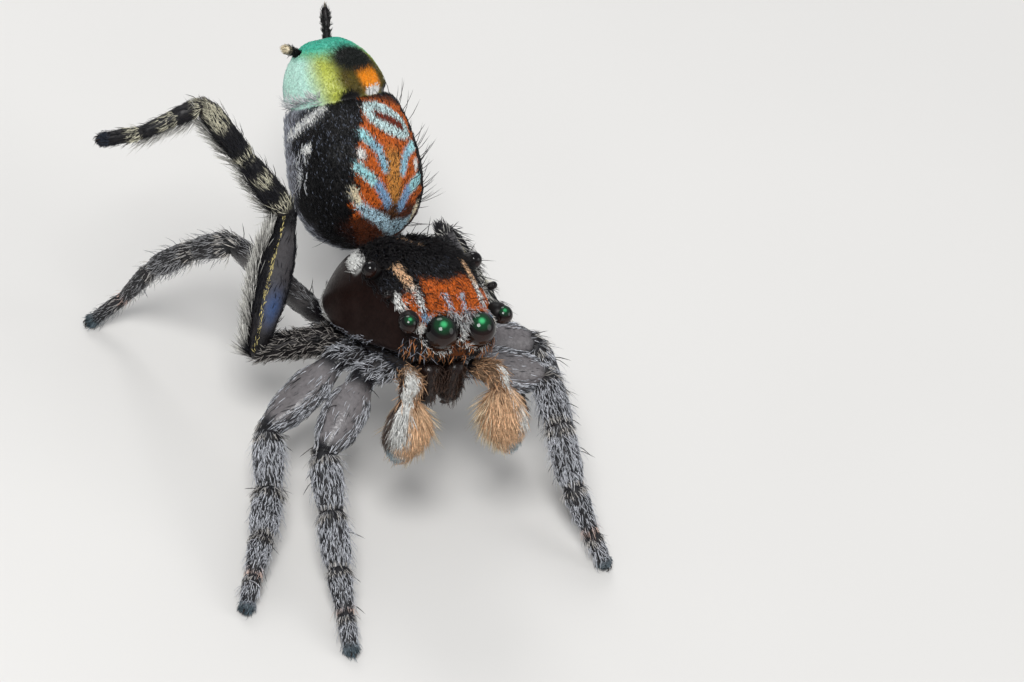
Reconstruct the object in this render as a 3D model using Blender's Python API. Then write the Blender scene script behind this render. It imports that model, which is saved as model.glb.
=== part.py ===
"""A male peacock spider, life size, standing with one third leg and the abdomen raised.

Every length below is in millimetres. The finished meshes are scaled to metres at the end.
The body is drawn in its own frame: x to the spider's left, y to its rear, z up, with
the point between the two big front eyes at zero. It is then pitched, rolled and set
above the floor. The legs are drawn from lengths, headings and slopes over the floor.
"""

import math
import random

import bmesh
import bpy
import numpy as np
from mathutils import Vector

MILLIMETRE = 0.001
GAP = 0.03                      # clear space left where two pieces meet
SEED = 7

# How the body is held over the floor
NOSE_HEIGHT = 2.48
BODY_PITCH = 11.1               # nose up, so that the rear is lower
BODY_ROLL = -3.0
ORIGIN_X = -0.646               # middle of the whole outline, so the origin lies under it
ORIGIN_Y = 1.13

# Carapace
CARAPACE_FRONT = -0.05
CARAPACE_REAR = 1.98
CARAPACE_WIDTHS = ((-0.05, 0.60), (0.12, 0.67), (0.60, 0.75), (1.00, 0.82), (1.45, 0.83), (1.98, 0.58))
CARAPACE_TOPS = ((-0.05, 0.20), (0.15, 0.27), (0.60, 0.34), (1.00, 0.35), (1.40, 0.24), (1.98, -0.10))
CARAPACE_LOWS = ((-0.05, -0.38), (0.28, -0.47), (0.90, -0.70), (1.40, -0.77), (1.98, -0.62))

# Eyes: name, middle on the left side, radius
EYES = (
    ("front", (0.235, -0.01, 0.00), 0.185),
    ("side", (0.585, 0.11, 0.06), 0.105),
    ("small", (0.655, 0.52, 0.16), 0.042),
    ("rear", (0.640, 0.98, 0.18), 0.095),
)

# Jaws, underside, waist
JAW_TOP = (0.155, 0.16, -0.46)
JAW_TIP = (0.150, 0.10, -1.06)
JAW_RADIUS = 0.145
STERNUM_MIDDLE = (0.0, 1.10, -0.96)
STERNUM_HALF = (0.36, 0.64, 0.17)
WAIST_FRONT = (0.06, 2.02, -0.46)
WAIST_RADIUS = 0.085

# Abdomen: base and tip of its axis over the floor, and its outline along that axis
ABDOMEN_BASE = (0.13, 2.14, 1.60)
ABDOMEN_TIP = (-0.03, 3.90, 3.075)
ABDOMEN_FACES = (0.22, -0.61, 0.76)
ABDOMEN_HALF_WIDTHS = (
    (0.00, 0.50), (0.08, 0.72), (0.16, 0.77), (0.30, 0.77), (0.45, 0.73), (0.58, 0.68), (0.66, 0.635),
    (0.70, 0.585), (0.74, 0.60), (0.82, 0.60), (0.92, 0.53), (1.00, 0.40),
)
ABDOMEN_HALF_DEPTHS = (
    (0.00, 0.42), (0.08, 0.60), (0.16, 0.68), (0.30, 0.70), (0.45, 0.67), (0.58, 0.63), (0.66, 0.59),
    (0.70, 0.55), (0.74, 0.57), (0.82, 0.58), (0.92, 0.53), (1.00, 0.42),
)
ABDOMEN_LEAN = ((0.00, 0.00), (0.30, 0.03), (0.60, 0.02), (0.75, -0.02), (1.00, -0.06))
ABDOMEN_PLACES = (
    0.006, 0.025, 0.06, 0.11, 0.17, 0.24, 0.32, 0.40, 0.48, 0.55, 0.61, 0.655, 0.685, 0.705, 0.725, 0.755,
    0.80, 0.85, 0.90, 0.94, 0.972, 0.993,
)
ABDOMEN_ROUND = 0.22            # smaller is blunter at both ends
SPINNERET_LONG = 0.38
SPINNERET_SHORT = 0.20
SPINNERET_RADIUS = 0.050

# Legs: start of the first joint, then (length, heading, slope) of each segment.
# Heading is measured from straight ahead towards the spider's left, slope from level.
LEGS = {
    "r1": ((-0.66, 0.42, 1.48), (0.99, -47.4, -29.8), (0.63, -8.4, -29.6), (0.65, -9.8, -23.9),
           (0.52, -9.7, -20.8), (0.48, -8.3, -30.0)),
    "r2": ((-0.78, 0.79, 1.40), (1.13, -66.9, -30.9), (0.65, -14.3, -30.2), (0.59, -27.9, -12.7),
           (0.49, -31.6, -20.3), (0.45, -31.0, -24.9)),
    "r3": ((-1.55, 1.23, 1.20), (1.61, 159.4, 68.3), (0.75, -130.7, 39.9), (0.85, -127.4, 41.1),
           (0.71, -88.2, -24.1), (0.48, -93.7, -8.5)),
    "r4": ((-0.68, 1.53, 1.28), (1.41, -114.6, 35.1), (0.56, -149.5, -45.4), (0.76, -152.8, -56.6),
           (0.71, -154.5, -70.9), (0.50, -93.7, -51.5)),
    "l1": ((0.60, 0.40, 1.42), (1.02, 83.0, -13.7), (0.60, -8.8, -9.7), (0.70, 3.1, -36.2),
           (0.56, 16.8, -36.3), (0.45, 28.2, -48.0)),
    "l2": ((0.74, 0.76, 1.34), (0.89, 89.3, -7.8), (0.57, 37.5, -47.5), (0.61, 0.0, -35.0),
           (0.52, 3.8, -29.0), (0.40, -4.9, -29.7)),
    "l3": ((1.22, 1.15, 1.22), (1.19, -176.5, 13.6), (0.73, 48.8, -43.3), (0.71, 36.9, -44.0),
           (0.57, 6.3, -37.9), (0.39, -8.1, -23.0)),
    "l4": ((0.62, 1.50, 1.20), (1.15, 169.9, -7.5), (0.69, 172.8, -21.4), (0.71, 170.9, -44.6),
           (0.39, 176.7, -27.2), (0.37, 180.0, -18.9)),
}
# Inner end of each coxa, beside the sternum, on the left side in the body frame
COXA_INNER = {1: (0.25, 0.62, -0.775), 2: (0.38, 0.95, -0.885), 3: (0.38, 1.27, -0.910), 4: (0.26, 1.58, -0.905)}

# Half widths across the leg and half depths in the plane of its bend:
# coxa, femur root, femur middle, femur end, patella, tibia, metatarsus, tarsus, tip
LEG_WIDTHS = {
    1: (0.140, 0.112, 0.150, 0.135, 0.150, 0.150, 0.120, 0.092, 0.070),
    2: (0.140, 0.112, 0.150, 0.135, 0.150, 0.150, 0.120, 0.092, 0.070),
    3: (0.138, 0.112, 0.130, 0.115, 0.130, 0.118, 0.088, 0.072, 0.062),
    4: (0.138, 0.112, 0.135, 0.115, 0.125, 0.118, 0.090, 0.072, 0.060),
}
LEG_DEPTHS = {
    1: (0.150, 0.135, 0.230, 0.155, 0.160, 0.155, 0.125, 0.095, 0.075),
    2: (0.150, 0.135, 0.230, 0.155, 0.160, 0.155, 0.125, 0.095, 0.075),
    3: (0.145, 0.132, 0.205, 0.135, 0.135, 0.122, 0.092, 0.075, 0.068),
    4: (0.145, 0.128, 0.165, 0.125, 0.130, 0.122, 0.094, 0.075, 0.062),
}
LEG_SIDES = 10

# Tufts along a leg: (first place, last place, count, turn round the leg, length, lift)
LEG_COATS = {
    0: {
        "femur": ((0.34, 0.90, 2, 90.0, 0.26, 0.16), (0.50, 0.80, 1, -90.0, 0.26, 0.16)),
        "tibia": ((0.10, 0.90, 2, 60.0, 0.30, 0.11), (0.14, 0.92, 2, -60.0, 0.30, 0.11), (0.40, 0.70, 1, 180.0, 0.30, 0.11)),
        "tarsus": ((0.08, 0.78, 2, 60.0, 0.27, 0.11), (0.14, 0.50, 1, -60.0, 0.27, 0.11), (0.30, 0.60, 1, 180.0, 0.27, 0.11)),
    },
    1: {
        "femur": ((0.20, 0.50, 2, 90.0, 0.24, 0.14), (0.30, 0.50, 1, -90.0, 0.24, 0.14)),
        "tibia": ((0.46, 0.90, 2, 60.0, 0.26, 0.11), (0.48, 0.92, 2, -60.0, 0.26, 0.11), (0.50, 0.70, 1, 180.0, 0.26, 0.11)),
        "tarsus": ((0.08, 0.78, 2, 60.0, 0.27, 0.11), (0.14, 0.50, 1, -60.0, 0.27, 0.11), (0.30, 0.60, 1, 180.0, 0.27, 0.11)),
    },
    3: {
        "femur": ((0.12, 0.92, 8, -90.0, 0.30, 0.50), (0.30, 0.85, 2, 90.0, 0.22, 0.15)),
        "tibia": ((0.06, 0.84, 6, -90.0, 0.28, 0.38), (0.12, 0.78, 2, 90.0, 0.22, 0.12), (0.30, 0.60, 1, 180.0, 0.22, 0.12)),
        "tarsus": ((0.05, 0.84, 4, -90.0, 0.24, 0.30), (0.12, 0.50, 1, 90.0, 0.18, 0.12)),
    },
}
# Bristles along a leg: (place, turn round the leg, length)
LEG_SPINES = {
    "femur": ((0.62, 85.0, 0.23),),
    "tibia": ((0.48, 50.0, 0.23), (0.80, 125.0, 0.24)),
    "tarsus": ((0.26, 70.0, 0.22),),
}

# Tufts and bristles of the body
FACE_LOCKS = 8
EDGE_LOCKS = 4
HEAD_BRISTLES = 4
ABDOMEN_LOCKS = ((-140.0, 0.24, 0.60, 3, 0.22), (-168.0, 0.20, 0.62, 5, 0.22), (-14.0, 0.28, 0.58, 3, 0.20))
FOLD_LOCKS = 5
ABDOMEN_BRISTLES = 9
PALP_LOCKS = 11

# Colour and roughness of each material
MATERIALS = {
    "shell": ((0.045, 0.022, 0.018), 0.22),
    "abdomen_skin": ((0.35, 0.12, 0.05), 0.55),
    "dark_skin": ((0.05, 0.045, 0.045), 0.50),
    "palp_hair": ((0.62, 0.42, 0.27), 0.70),
    "leg_hair": ((0.24, 0.24, 0.25), 0.65),
    "eye": ((0.010, 0.030, 0.018), 0.05),
}
SLOTS = (("eye", "eye"), ("carapace", "shell"), ("jaw", "shell"), ("abdomen", "abdomen_skin"), ("palp", "palp_hair"),
         ("leg", "leg_hair"), ("", "dark_skin"))

# Palps in the body frame, on each side: root, bend, wrist, middle of the brush, tip
PALPS = {
    "r": ((-0.40, 0.16, -0.63), (-0.51, -0.10, -0.56), (-0.56, -0.21, -0.68), (-0.55, -0.32, -0.98),
          (-0.62, -0.38, -1.36)),
    "l": ((0.40, 0.16, -0.63), (0.51, -0.08, -0.54), (0.53, -0.22, -0.60), (0.57, -0.38, -0.88),
          (0.68, -0.52, -1.26)),
}


def body_axes():
    """The body frame's three axes over the floor, as rows of a matrix."""
    up = np.array((math.sin(math.radians(BODY_ROLL)), -math.sin(math.radians(BODY_PITCH)), 0.0))
    up[2] = math.sqrt(1.0 - up @ up)
    rear = np.array((0.0, 1.0, 0.0))
    rear = rear - up * (rear @ up)
    rear = rear / np.linalg.norm(rear)
    left = np.cross(rear, up)
    return np.array((left, rear, up))


AXES = body_axes()


def over_floor(point):
    """A point of the body frame, placed over the floor."""
    return AXES @ np.asarray(point, float) + np.array((0.0, 0.0, NOSE_HEIGHT))


def unit(vector):
    """The same direction with length one."""
    vector = np.asarray(vector, float)
    return vector / np.linalg.norm(vector)


def along(table, value):
    """Smooth value of a table of (place, number) pairs at one place."""
    places = [row[0] for row in table]
    numbers = [row[1] for row in table]
    value = min(max(value, places[0]), places[-1])
    slopes = np.gradient(numbers, places)
    index = min(max(int(np.searchsorted(places, value)) - 1, 0), len(places) - 2)
    width = places[index + 1] - places[index]
    t = (value - places[index]) / width
    a = (2 * t ** 3 - 3 * t ** 2 + 1) * numbers[index]
    b = (t ** 3 - 2 * t ** 2 + t) * width * slopes[index]
    c = (-2 * t ** 3 + 3 * t ** 2) * numbers[index + 1]
    d = (t ** 3 - t ** 2) * width * slopes[index + 1]
    return a + b + c + d


def clear_scene():
    """Take out whatever the start-up file holds."""
    for thing in list(bpy.data.objects):
        bpy.data.objects.remove(thing, do_unlink=True)


def material(name):
    """The named material with its colour and roughness."""
    found = bpy.data.materials.get(name)
    if found:
        return found
    colour, roughness = MATERIALS[name]
    made = bpy.data.materials.new(name)
    made.use_nodes = True
    shader = made.node_tree.nodes["Principled BSDF"]
    shader.inputs["Base Color"].default_value = (colour[0], colour[1], colour[2], 1.0)
    shader.inputs["Roughness"].default_value = roughness
    shader.inputs["Metallic"].default_value = 0.0
    return made


def object_from(name, bm):
    """A mesh object from a bmesh drawn in millimetres, triangulated, with its faces turned outward."""
    bmesh.ops.triangulate(bm, faces=bm.faces)
    bmesh.ops.recalc_face_normals(bm, faces=bm.faces)
    mesh = bpy.data.meshes.new(name)
    bm.to_mesh(mesh)
    bm.free()
    thing = bpy.data.objects.new(name, mesh)
    bpy.context.scene.collection.objects.link(thing)
    return thing


def loft(name, points, faces):
    """A mesh object from the points and faces of a body lofted between unlike sections."""
    bm = bmesh.new()
    corners = [bm.verts.new(tuple(p)) for p in points]
    for face in faces:
        bm.faces.new([corners[k] for k in face])
    return object_from(name, bm)


def skin_rings(rings, start=None, end=None):
    """Points and faces of a closed body that passes through rings of equal size.

    Each end closes on one point: the one given, or the middle of the end ring.
    """
    count = len(rings[0])
    points = [p for ring in rings for p in ring]
    faces = []
    for r in range(len(rings) - 1):
        for k in range(count):
            n = (k + 1) % count
            faces.append((r * count + k, r * count + n, (r + 1) * count + n, (r + 1) * count + k))
    first = np.mean(rings[0], axis=0) if start is None else start
    last = np.mean(rings[-1], axis=0) if end is None else end
    points.append(first)
    points.append(last)
    base = (len(rings) - 1) * count
    for k in range(count):
        n = (k + 1) % count
        faces.append((len(points) - 2, n, k))
        faces.append((len(points) - 1, base + k, base + n))
    return points, faces


def ball(name, middle, radius, sides=14, rings=9):
    """A plain ball."""
    bm = bmesh.new()
    bmesh.ops.create_uvsphere(bm, u_segments=sides, v_segments=rings, radius=radius)
    bmesh.ops.translate(bm, verts=bm.verts, vec=Vector(tuple(middle)))
    return object_from(name, bm)


def boxy(value, power):
    """A sine or cosine pushed towards a squarer curve."""
    return math.copysign(abs(value) ** power, value)


def carapace_point(y, turn, reach=1.0):
    """A point of the carapace in the body frame: place from front to rear, turn from its left upward."""
    width = along(CARAPACE_WIDTHS, y)
    top = along(CARAPACE_TOPS, y)
    low = along(CARAPACE_LOWS, y)
    waist = low + 0.20 * (top - low)
    rise = boxy(math.sin(turn), 0.78)
    x = width * reach * boxy(math.cos(turn), 0.78 if rise > 0 else 0.55)
    if rise > 0:
        z = waist + (top - waist) * rise * reach
        x = x * (1.0 - 0.14 * rise)
    else:
        z = waist + (waist - low) * rise * reach
    return np.array((x, y, z))


def carapace():
    """The head and chest shield, boxy in front and sloping down behind the rear eyes."""
    sides = 26
    rings = 18
    layers = []
    middle_y = (CARAPACE_FRONT + CARAPACE_REAR) / 2
    half_y = (CARAPACE_REAR - CARAPACE_FRONT) / 2
    for r in range(1, rings):
        angle = math.pi * r / rings
        reach = boxy(math.sin(angle), 0.42)
        y = middle_y - half_y * boxy(math.cos(angle), 0.80)
        layers.append([over_floor(carapace_point(y, 2 * math.pi * k / sides, reach)) for k in range(sides)])
    front = over_floor((0, CARAPACE_FRONT - 0.01, -0.10))
    rear = over_floor((0, CARAPACE_REAR + 0.01, -0.30))
    points, faces = skin_rings(layers, front, rear)
    shell = loft("carapace", points, faces)
    join(shell, carapace_coat())
    cutters = []
    for side in (-1, 1):
        for name, (x, y, z), radius in EYES:
            sides = 16 if radius > 0.15 else 10
            cutters.append(ball("socket", over_floor((side * x, y, z)), radius + GAP, sides, sides // 2 + 1))
    cut(shell, cutters)
    return shell


def carapace_coat():
    """Tufts under the front eyes and along the lower edge, and bristles on the back of the head."""
    draw = random.Random(SEED)
    made = []
    down = AXES @ np.array((0.0, -0.35, -1.0))
    for k in range(FACE_LOCKS):
        x = -0.52 + 1.04 * k / (FACE_LOCKS - 1)
        root = over_floor((x, CARAPACE_FRONT + 0.07 + 0.25 * x * x, -0.30 - 0.03 * draw.random()))
        made.append(lock(root, down, AXES @ np.array((0.0, -1.0, 0.0)), 0.19 + 0.04 * draw.random(), 0.13, 0.06, 0.03))
    for side in (-1, 1):
        for k in range(EDGE_LOCKS):
            y = 0.55 + 1.20 * k / (EDGE_LOCKS - 1)
            point = carapace_point(y, math.radians(4 if side > 0 else 176))
            out = AXES @ np.array((side * 1.0, 0.15, -0.1))
            lie = AXES @ np.array((side * 0.12, 0.80, -0.45))
            made.append(lock(over_floor(point), lie, out, 0.24 + 0.05 * draw.random(), 0.12, 0.05, 0.03))
        for k in range(HEAD_BRISTLES):
            y = 0.20 + 0.95 * k / (HEAD_BRISTLES - 1)
            turn = math.radians(52 + 14 * draw.random())
            point = carapace_point(y, turn if side > 0 else math.pi - turn)
            out = AXES @ np.array((side * 0.75, -0.25, 0.8))
            made.append(spine(over_floor(point), out, 0.22 + 0.10 * draw.random(), 0.016))
    return made


def eyes():
    """Eight eyes: two big ones in front, two beside them, two tiny ones and two behind."""
    made = []
    for side, letter in ((-1, "r"), (1, "l")):
        for name, (x, y, z), radius in EYES:
            sides = 18 if radius > 0.15 else 12 if radius > 0.06 else 8
            rings = 12 if radius > 0.15 else 8 if radius > 0.06 else 6
            made.append(ball("eye_" + name + "_" + letter, over_floor((side * x, y, z)), radius, sides, rings))
    return made


def abdomen_axes():
    """Start, length and three directions of the abdomen: along it, to its left, to its back."""
    base = np.array(ABDOMEN_BASE)
    tip = np.array(ABDOMEN_TIP)
    length = np.linalg.norm(tip - base)
    line = (tip - base) / length
    face = np.array(ABDOMEN_FACES)
    face = unit(face - line * (face @ line))
    side = np.cross(line, face)
    if side[0] < 0:
        side = -side
    return base, length, line, side, face


def abdomen_point(place, turn):
    """A point of the abdomen's surface: place along it, turn from its left towards its face."""
    base, length, line, side, face = abdomen_axes()
    reach = (4.0 * place * (1.0 - place)) ** ABDOMEN_ROUND
    width = along(ABDOMEN_HALF_WIDTHS, place) * reach
    depth = along(ABDOMEN_HALF_DEPTHS, place) * reach
    middle = base + line * length * place + face * along(ABDOMEN_LEAN, place)
    return middle + side * (width * math.cos(turn)) + face * (depth * math.sin(turn))


def abdomen():
    """The raised abdomen with its round end and the fold below it."""
    base, length, line, side, face = abdomen_axes()
    sides = 26
    layers = []
    for place in ABDOMEN_PLACES:
        layers.append([abdomen_point(place, 2 * math.pi * k / sides) for k in range(sides)])
    points, faces = skin_rings(layers, base, base + line * length + face * along(ABDOMEN_LEAN, 1.0))
    body = loft("abdomen", points, faces)
    join(body, abdomen_coat())
    return body


def abdomen_out(place, turn):
    """Point, outward direction and direction towards the tip, on the abdomen's surface."""
    point = abdomen_point(place, turn)
    up = unit(abdomen_point(place + 0.01, turn) - abdomen_point(place - 0.01, turn))
    around = abdomen_point(place, turn + 0.05) - abdomen_point(place, turn - 0.05)
    out = unit(np.cross(around, up))
    middle = (point + abdomen_point(place, turn + math.pi)) / 2
    return point, out if out @ (point - middle) > 0 else -out, up


def abdomen_coat():
    """White tufts down the pale side, a fringe under the round end, bristles on the face."""
    draw = random.Random(SEED + 1)
    made = []
    for degrees, first, last, count, length in ABDOMEN_LOCKS:
        for k in range(count):
            place = first + (last - first) * k / (count - 1)
            turn = math.radians(degrees + 14.0 * (draw.random() - 0.5))
            point, out, up = abdomen_out(place, turn)
            made.append(lock(point, up * -0.75 + out * 0.55, out, length * (0.85 + 0.3 * draw.random()), 0.10, 0.045,
                             0.05))
    for k in range(FOLD_LOCKS):
        turn = math.radians(-175.0 + 150.0 * k / (FOLD_LOCKS - 1))
        point, out, up = abdomen_out(0.735, turn)
        made.append(lock(point, up * -0.9 + out * 0.35, out, 0.15 + 0.04 * draw.random(), 0.10, 0.045, 0.03))
    for k in range(ABDOMEN_BRISTLES):
        place = 0.12 + 0.54 * (k + 0.5) / ABDOMEN_BRISTLES
        turn = math.radians(25.0 + 130.0 * ((k * 0.382) % 1.0))
        point, out, up = abdomen_out(place, turn)
        made.append(spine(point, out * 0.8 + up * 0.5, 0.20 + 0.10 * draw.random(), 0.016))
    return made


def station_rings(stations, sides):
    """Rings of points round stations of (middle, direction, across, half width, half depth, cut plane)."""
    layers = []
    for middle, direction, across, width, depth, plane in stations:
        direction = unit(direction)
        across = unit(np.asarray(across) - direction * (np.asarray(across) @ direction))
        rise = np.cross(direction, across)
        square = 1.0 if plane is None else direction @ plane
        layer = []
        for k in range(sides):
            turn = 2 * math.pi * k / sides
            offset = across * (width * math.cos(turn)) + rise * (depth * square * math.sin(turn))
            if plane is not None:
                offset = offset - direction * ((offset @ plane) / square)
            layer.append(np.asarray(middle) + offset)
        layers.append(layer)
    return layers


def sweep(name, stations, sides=LEG_SIDES):
    """A closed body through stations, flat at both ends."""
    points, faces = skin_rings(station_rings(stations, sides))
    return loft(name, points, faces)


def lock(root, lie, out, length, width, thickness, bend):
    """A flat tapered lock: rooted inside the surface, along its lie, bending towards it at the tip."""
    lie = unit(lie)
    out = np.asarray(out) - lie * (np.asarray(out) @ lie)
    out = unit(out)
    across = np.cross(lie, out)
    start = np.asarray(root) - lie * (0.22 * length) - unit(out) * thickness * 0.5
    whole = length * 1.22
    stations = []
    for t, w in ((0.0, 0.60), (0.42, 1.0), (0.76, 0.66)):
        middle = start + lie * (whole * t) + out * (bend * math.sin(math.pi * t))
        stations.append((middle, lie, across, width * 0.5 * w, thickness * 0.5 * (1.0 - 0.35 * t), None))
    tip = start + lie * whole - out * bend * 0.25
    points, faces = skin_rings(station_rings(stations, 3), None, tip)
    return loft("lock", points, faces)


def spine(root, lie, length, radius):
    """A round tapered bristle rooted inside the surface."""
    lie = unit(lie)
    across = unit(np.cross(lie, (0.3, 0.5, 0.8)))
    start = np.asarray(root) - lie * 0.05
    stations = []
    for t, r in ((0.0, 1.0), (0.55, 0.7)):
        stations.append((start + lie * ((length + 0.05) * t), lie, across, radius * r, radius * r, None))
    layers = station_rings(stations, 3)
    points, faces = skin_rings(layers, None, start + lie * (length + 0.05))
    return loft("spine", points, faces)


def between(stations, place):
    """Middle, direction, across, half width and half depth part way along a list of stations."""
    middles = [np.asarray(row[0], float) for row in stations]
    steps = [0.0]
    for a, b in zip(middles, middles[1:]):
        steps.append(steps[-1] + float(np.linalg.norm(b - a)))
    goal = place * steps[-1]
    index = min(max(int(np.searchsorted(steps, goal)) - 1, 0), len(steps) - 2)
    t = (goal - steps[index]) / max(steps[index + 1] - steps[index], 1e-9)
    a = stations[index]
    b = stations[index + 1]
    mixed = [np.asarray(a[k]) * (1 - t) + np.asarray(b[k]) * t for k in range(5)]
    return mixed[0], unit(mixed[1]), unit(mixed[2]), float(mixed[3]), float(mixed[4]), steps[-1]


def limb_out(stations, place, turn):
    """Point, outward direction, direction along the limb and the limb's length."""
    middle, direction, across, width, depth, length = between(stations, place)
    rise = np.cross(direction, across)
    point = middle + across * (width * math.cos(turn)) + rise * (depth * math.sin(turn))
    out = unit(across * (math.cos(turn) / width) + rise * (math.sin(turn) / depth))
    return point, out, direction, length


def limb_coat(stations, rows, draw, reach=1.0):
    """Overlapping tufts along a limb in rows of (first place, last place, count, turn, length, lift)."""
    made = []
    for first, last, count, degrees, length, lift in rows:
        for k in range(count):
            place = first + (last - first) * (k + 0.3 * draw.random()) / count
            turn = math.radians(degrees + 26.0 * (draw.random() - 0.5))
            point, out, direction, whole = limb_out(stations, place, turn)
            size = length * (0.85 + 0.3 * draw.random())
            size = min(size, (reach - place) * whole)
            if size < 0.07:
                continue
            lie = direction + out * lift
            tip = point + unit(lie) * size
            if tip[2] < 0.05:
                continue
            made.append(lock(point, lie, out, size, min(0.11, 0.60 * size), 0.055, 0.02))
    return made


def leg_points(start, segments):
    """Joint points of a leg from its segments' lengths, headings and slopes."""
    points = [np.array(start, float)]
    for length, heading, slope in segments:
        h = math.radians(heading)
        s = math.radians(slope)
        step = np.array((math.sin(h) * math.cos(s), -math.cos(h) * math.cos(s), math.sin(s)))
        points.append(points[-1] + step * length)
    return points


def leg_pieces(key):
    """One leg as four pieces: coxa, femur, patella with tibia, metatarsus with tarsus."""
    row = LEGS[key]
    pair = int(key[1])
    sign = 1 if key[0] == "l" else -1
    joints = leg_points(row[0], row[1:])
    inner = COXA_INNER[pair]
    inner = over_floor((sign * inner[0], inner[1], inner[2]))
    widths = LEG_WIDTHS[pair]
    depths = LEG_DEPTHS[pair]
    stands = key != "r3"
    foot_radius = depths[8]
    if stands:
        joints[5][2] = foot_radius * 0.80
    chain = [inner] + joints
    directions = [unit(chain[i + 1] - chain[i]) for i in range(6)]
    planes = [None] + [unit(directions[i] + directions[i + 1]) for i in range(5)] + [None]
    across = np.cross(directions[1], directions[3])
    if np.linalg.norm(across) < 0.15:
        across = np.cross(directions[1], (0.0, 0.0, 1.0))
    across = unit(across)
    half = GAP / 2

    def station(i, t, width, depth, joint=None, shift=0.0):
        if joint is not None and i < 3:
            shift = shift / max(0.3, directions[i] @ joint)     # at the sharp upper joints the gap is square to them
        middle = chain[i] + (chain[i + 1] - chain[i]) * t + directions[i] * shift
        return (middle, directions[i], across, width, depth, joint)

    def bend_room(i, thick):
        """Length beside joint i that the inner side of its bend takes up, with the gap."""
        turn = math.acos(max(-1.0, min(1.0, float(directions[i - 1] @ directions[i])))) / 2
        return 1.06 * thick * math.tan(turn) + GAP / math.cos(turn)

    knee = min(0.88, 1.0 - bend_room(2, max(depths[3], widths[3])) / np.linalg.norm(chain[2] - chain[1]))
    shin = max(0.22, bend_room(2, max(depths[4], widths[4])) / np.linalg.norm(chain[3] - chain[2]))

    draw = random.Random(SEED + 10 * pair + (1 if sign > 0 else 0))
    name = "leg_" + key + "_"
    coxa = [
        station(0, 0.0, widths[0] * 0.70, depths[0] * 0.70),
        station(0, 0.15, widths[0] * 0.95, depths[0] * 0.95),
        station(0, 0.55, widths[0], depths[0]),
        station(0, 0.85, widths[0] * 0.88, depths[0] * 0.88),
        station(0, 1.0, widths[1], depths[1], planes[1], -half),
    ]
    femur = [
        station(1, 0.0, widths[1], depths[1], planes[1], half),
        station(1, 0.16, widths[1] * 1.05, depths[1] * 1.12),
        station(1, 0.32, widths[2] * 0.92, depths[2] * 0.92),
        station(1, 0.52, widths[2], depths[2]),
        station(1, min(0.72, knee - 0.10), widths[2] * 0.97, depths[2] * 0.93),
        station(1, knee, widths[3], depths[3]),
        station(1, 1.0, widths[3] * 0.80, depths[3] * 0.80, planes[2], -half),
    ]
    tibia = [
        station(2, 0.0, widths[4] * 0.74, depths[4] * 0.76, planes[2], half),
        station(2, shin, widths[4] * 0.98, depths[4] * 0.98),
        station(2, max(0.60, shin + 0.10), widths[4], depths[4]),
        station(2, 0.88, widths[4] * 0.86, depths[4] * 0.86),
        station(2, 1.0, widths[5] * 0.78, depths[5] * 0.78, planes[3]),
        station(3, 0.14, widths[5] * 0.92, depths[5] * 0.92),
        station(3, 0.45, widths[5], depths[5]),
        station(3, 0.84, widths[5] * 0.90, depths[5] * 0.90),
        station(3, 1.0, widths[6] * 0.84, depths[6] * 0.84, planes[4], -half),
    ]
    tarsus = [
        station(4, 0.0, widths[6] * 0.80, depths[6] * 0.80, planes[4], half),
        station(4, 0.16, widths[6], depths[6]),
        station(4, 0.60, widths[6] * 0.90, depths[6] * 0.90),
        station(4, 1.0, widths[7] * 0.92, depths[7] * 0.92, planes[5]),
        station(5, 0.30, widths[7], depths[7]),
        station(5, 0.72, widths[8] * 1.10, depths[8] * 1.10),
        station(5, 1.0, widths[8], depths[8]),
        station(5, 1.0, widths[8] * 0.62, depths[8] * 0.62, None, foot_radius * 0.55),
    ]
    made = []
    for part_name, stations, reach in (("coxa", coxa, 1.0), ("femur", femur, 0.97), ("tibia", tibia, 0.98),
                                       ("tarsus", tarsus, 1.0)):
        piece = sweep(name + part_name, stations)
        if part_name == "tarsus" and stands:
            flatten_foot(piece)
        rows = LEG_COATS[3 if key == "r3" else 1 if key == "l3" else 0].get(part_name, ())
        coat = limb_coat(stations, rows, draw, reach)
        for place, degrees, length in LEG_SPINES.get(part_name, ()):
            point, out, direction, whole = limb_out(stations, place, math.radians(degrees))
            lie = out * 0.85 + direction * 0.6
            if (point + unit(lie) * length)[2] > 0.06:
                coat.append(spine(point, lie, length * (0.85 + 0.3 * draw.random()), 0.017))
        join(piece, coat)
        made.append(piece)
    return made


def flatten_foot(thing):
    """Bring every point below the floor up to it, which leaves a small flat under the foot."""
    for vertex in thing.data.vertices:
        if vertex.co.z < 0.012:
            vertex.co.z = 0.0


def jaw(side, letter):
    """One stout jaw below the face."""
    top = over_floor((side * JAW_TOP[0], JAW_TOP[1], JAW_TOP[2] - GAP))
    tip = over_floor((side * JAW_TIP[0], JAW_TIP[1], JAW_TIP[2]))
    line = tip - top
    across = AXES @ np.array((1.0, 0.0, 0.0))
    r = JAW_RADIUS
    rows = ((0.0, 0.72), (0.12, 0.94), (0.40, 1.0), (0.70, 0.92), (0.90, 0.66), (1.0, 0.36))
    return sweep("jaw_" + letter, [(top + line * t, line, across, r * s, r * s * 1.05, None) for t, s in rows])


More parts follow.
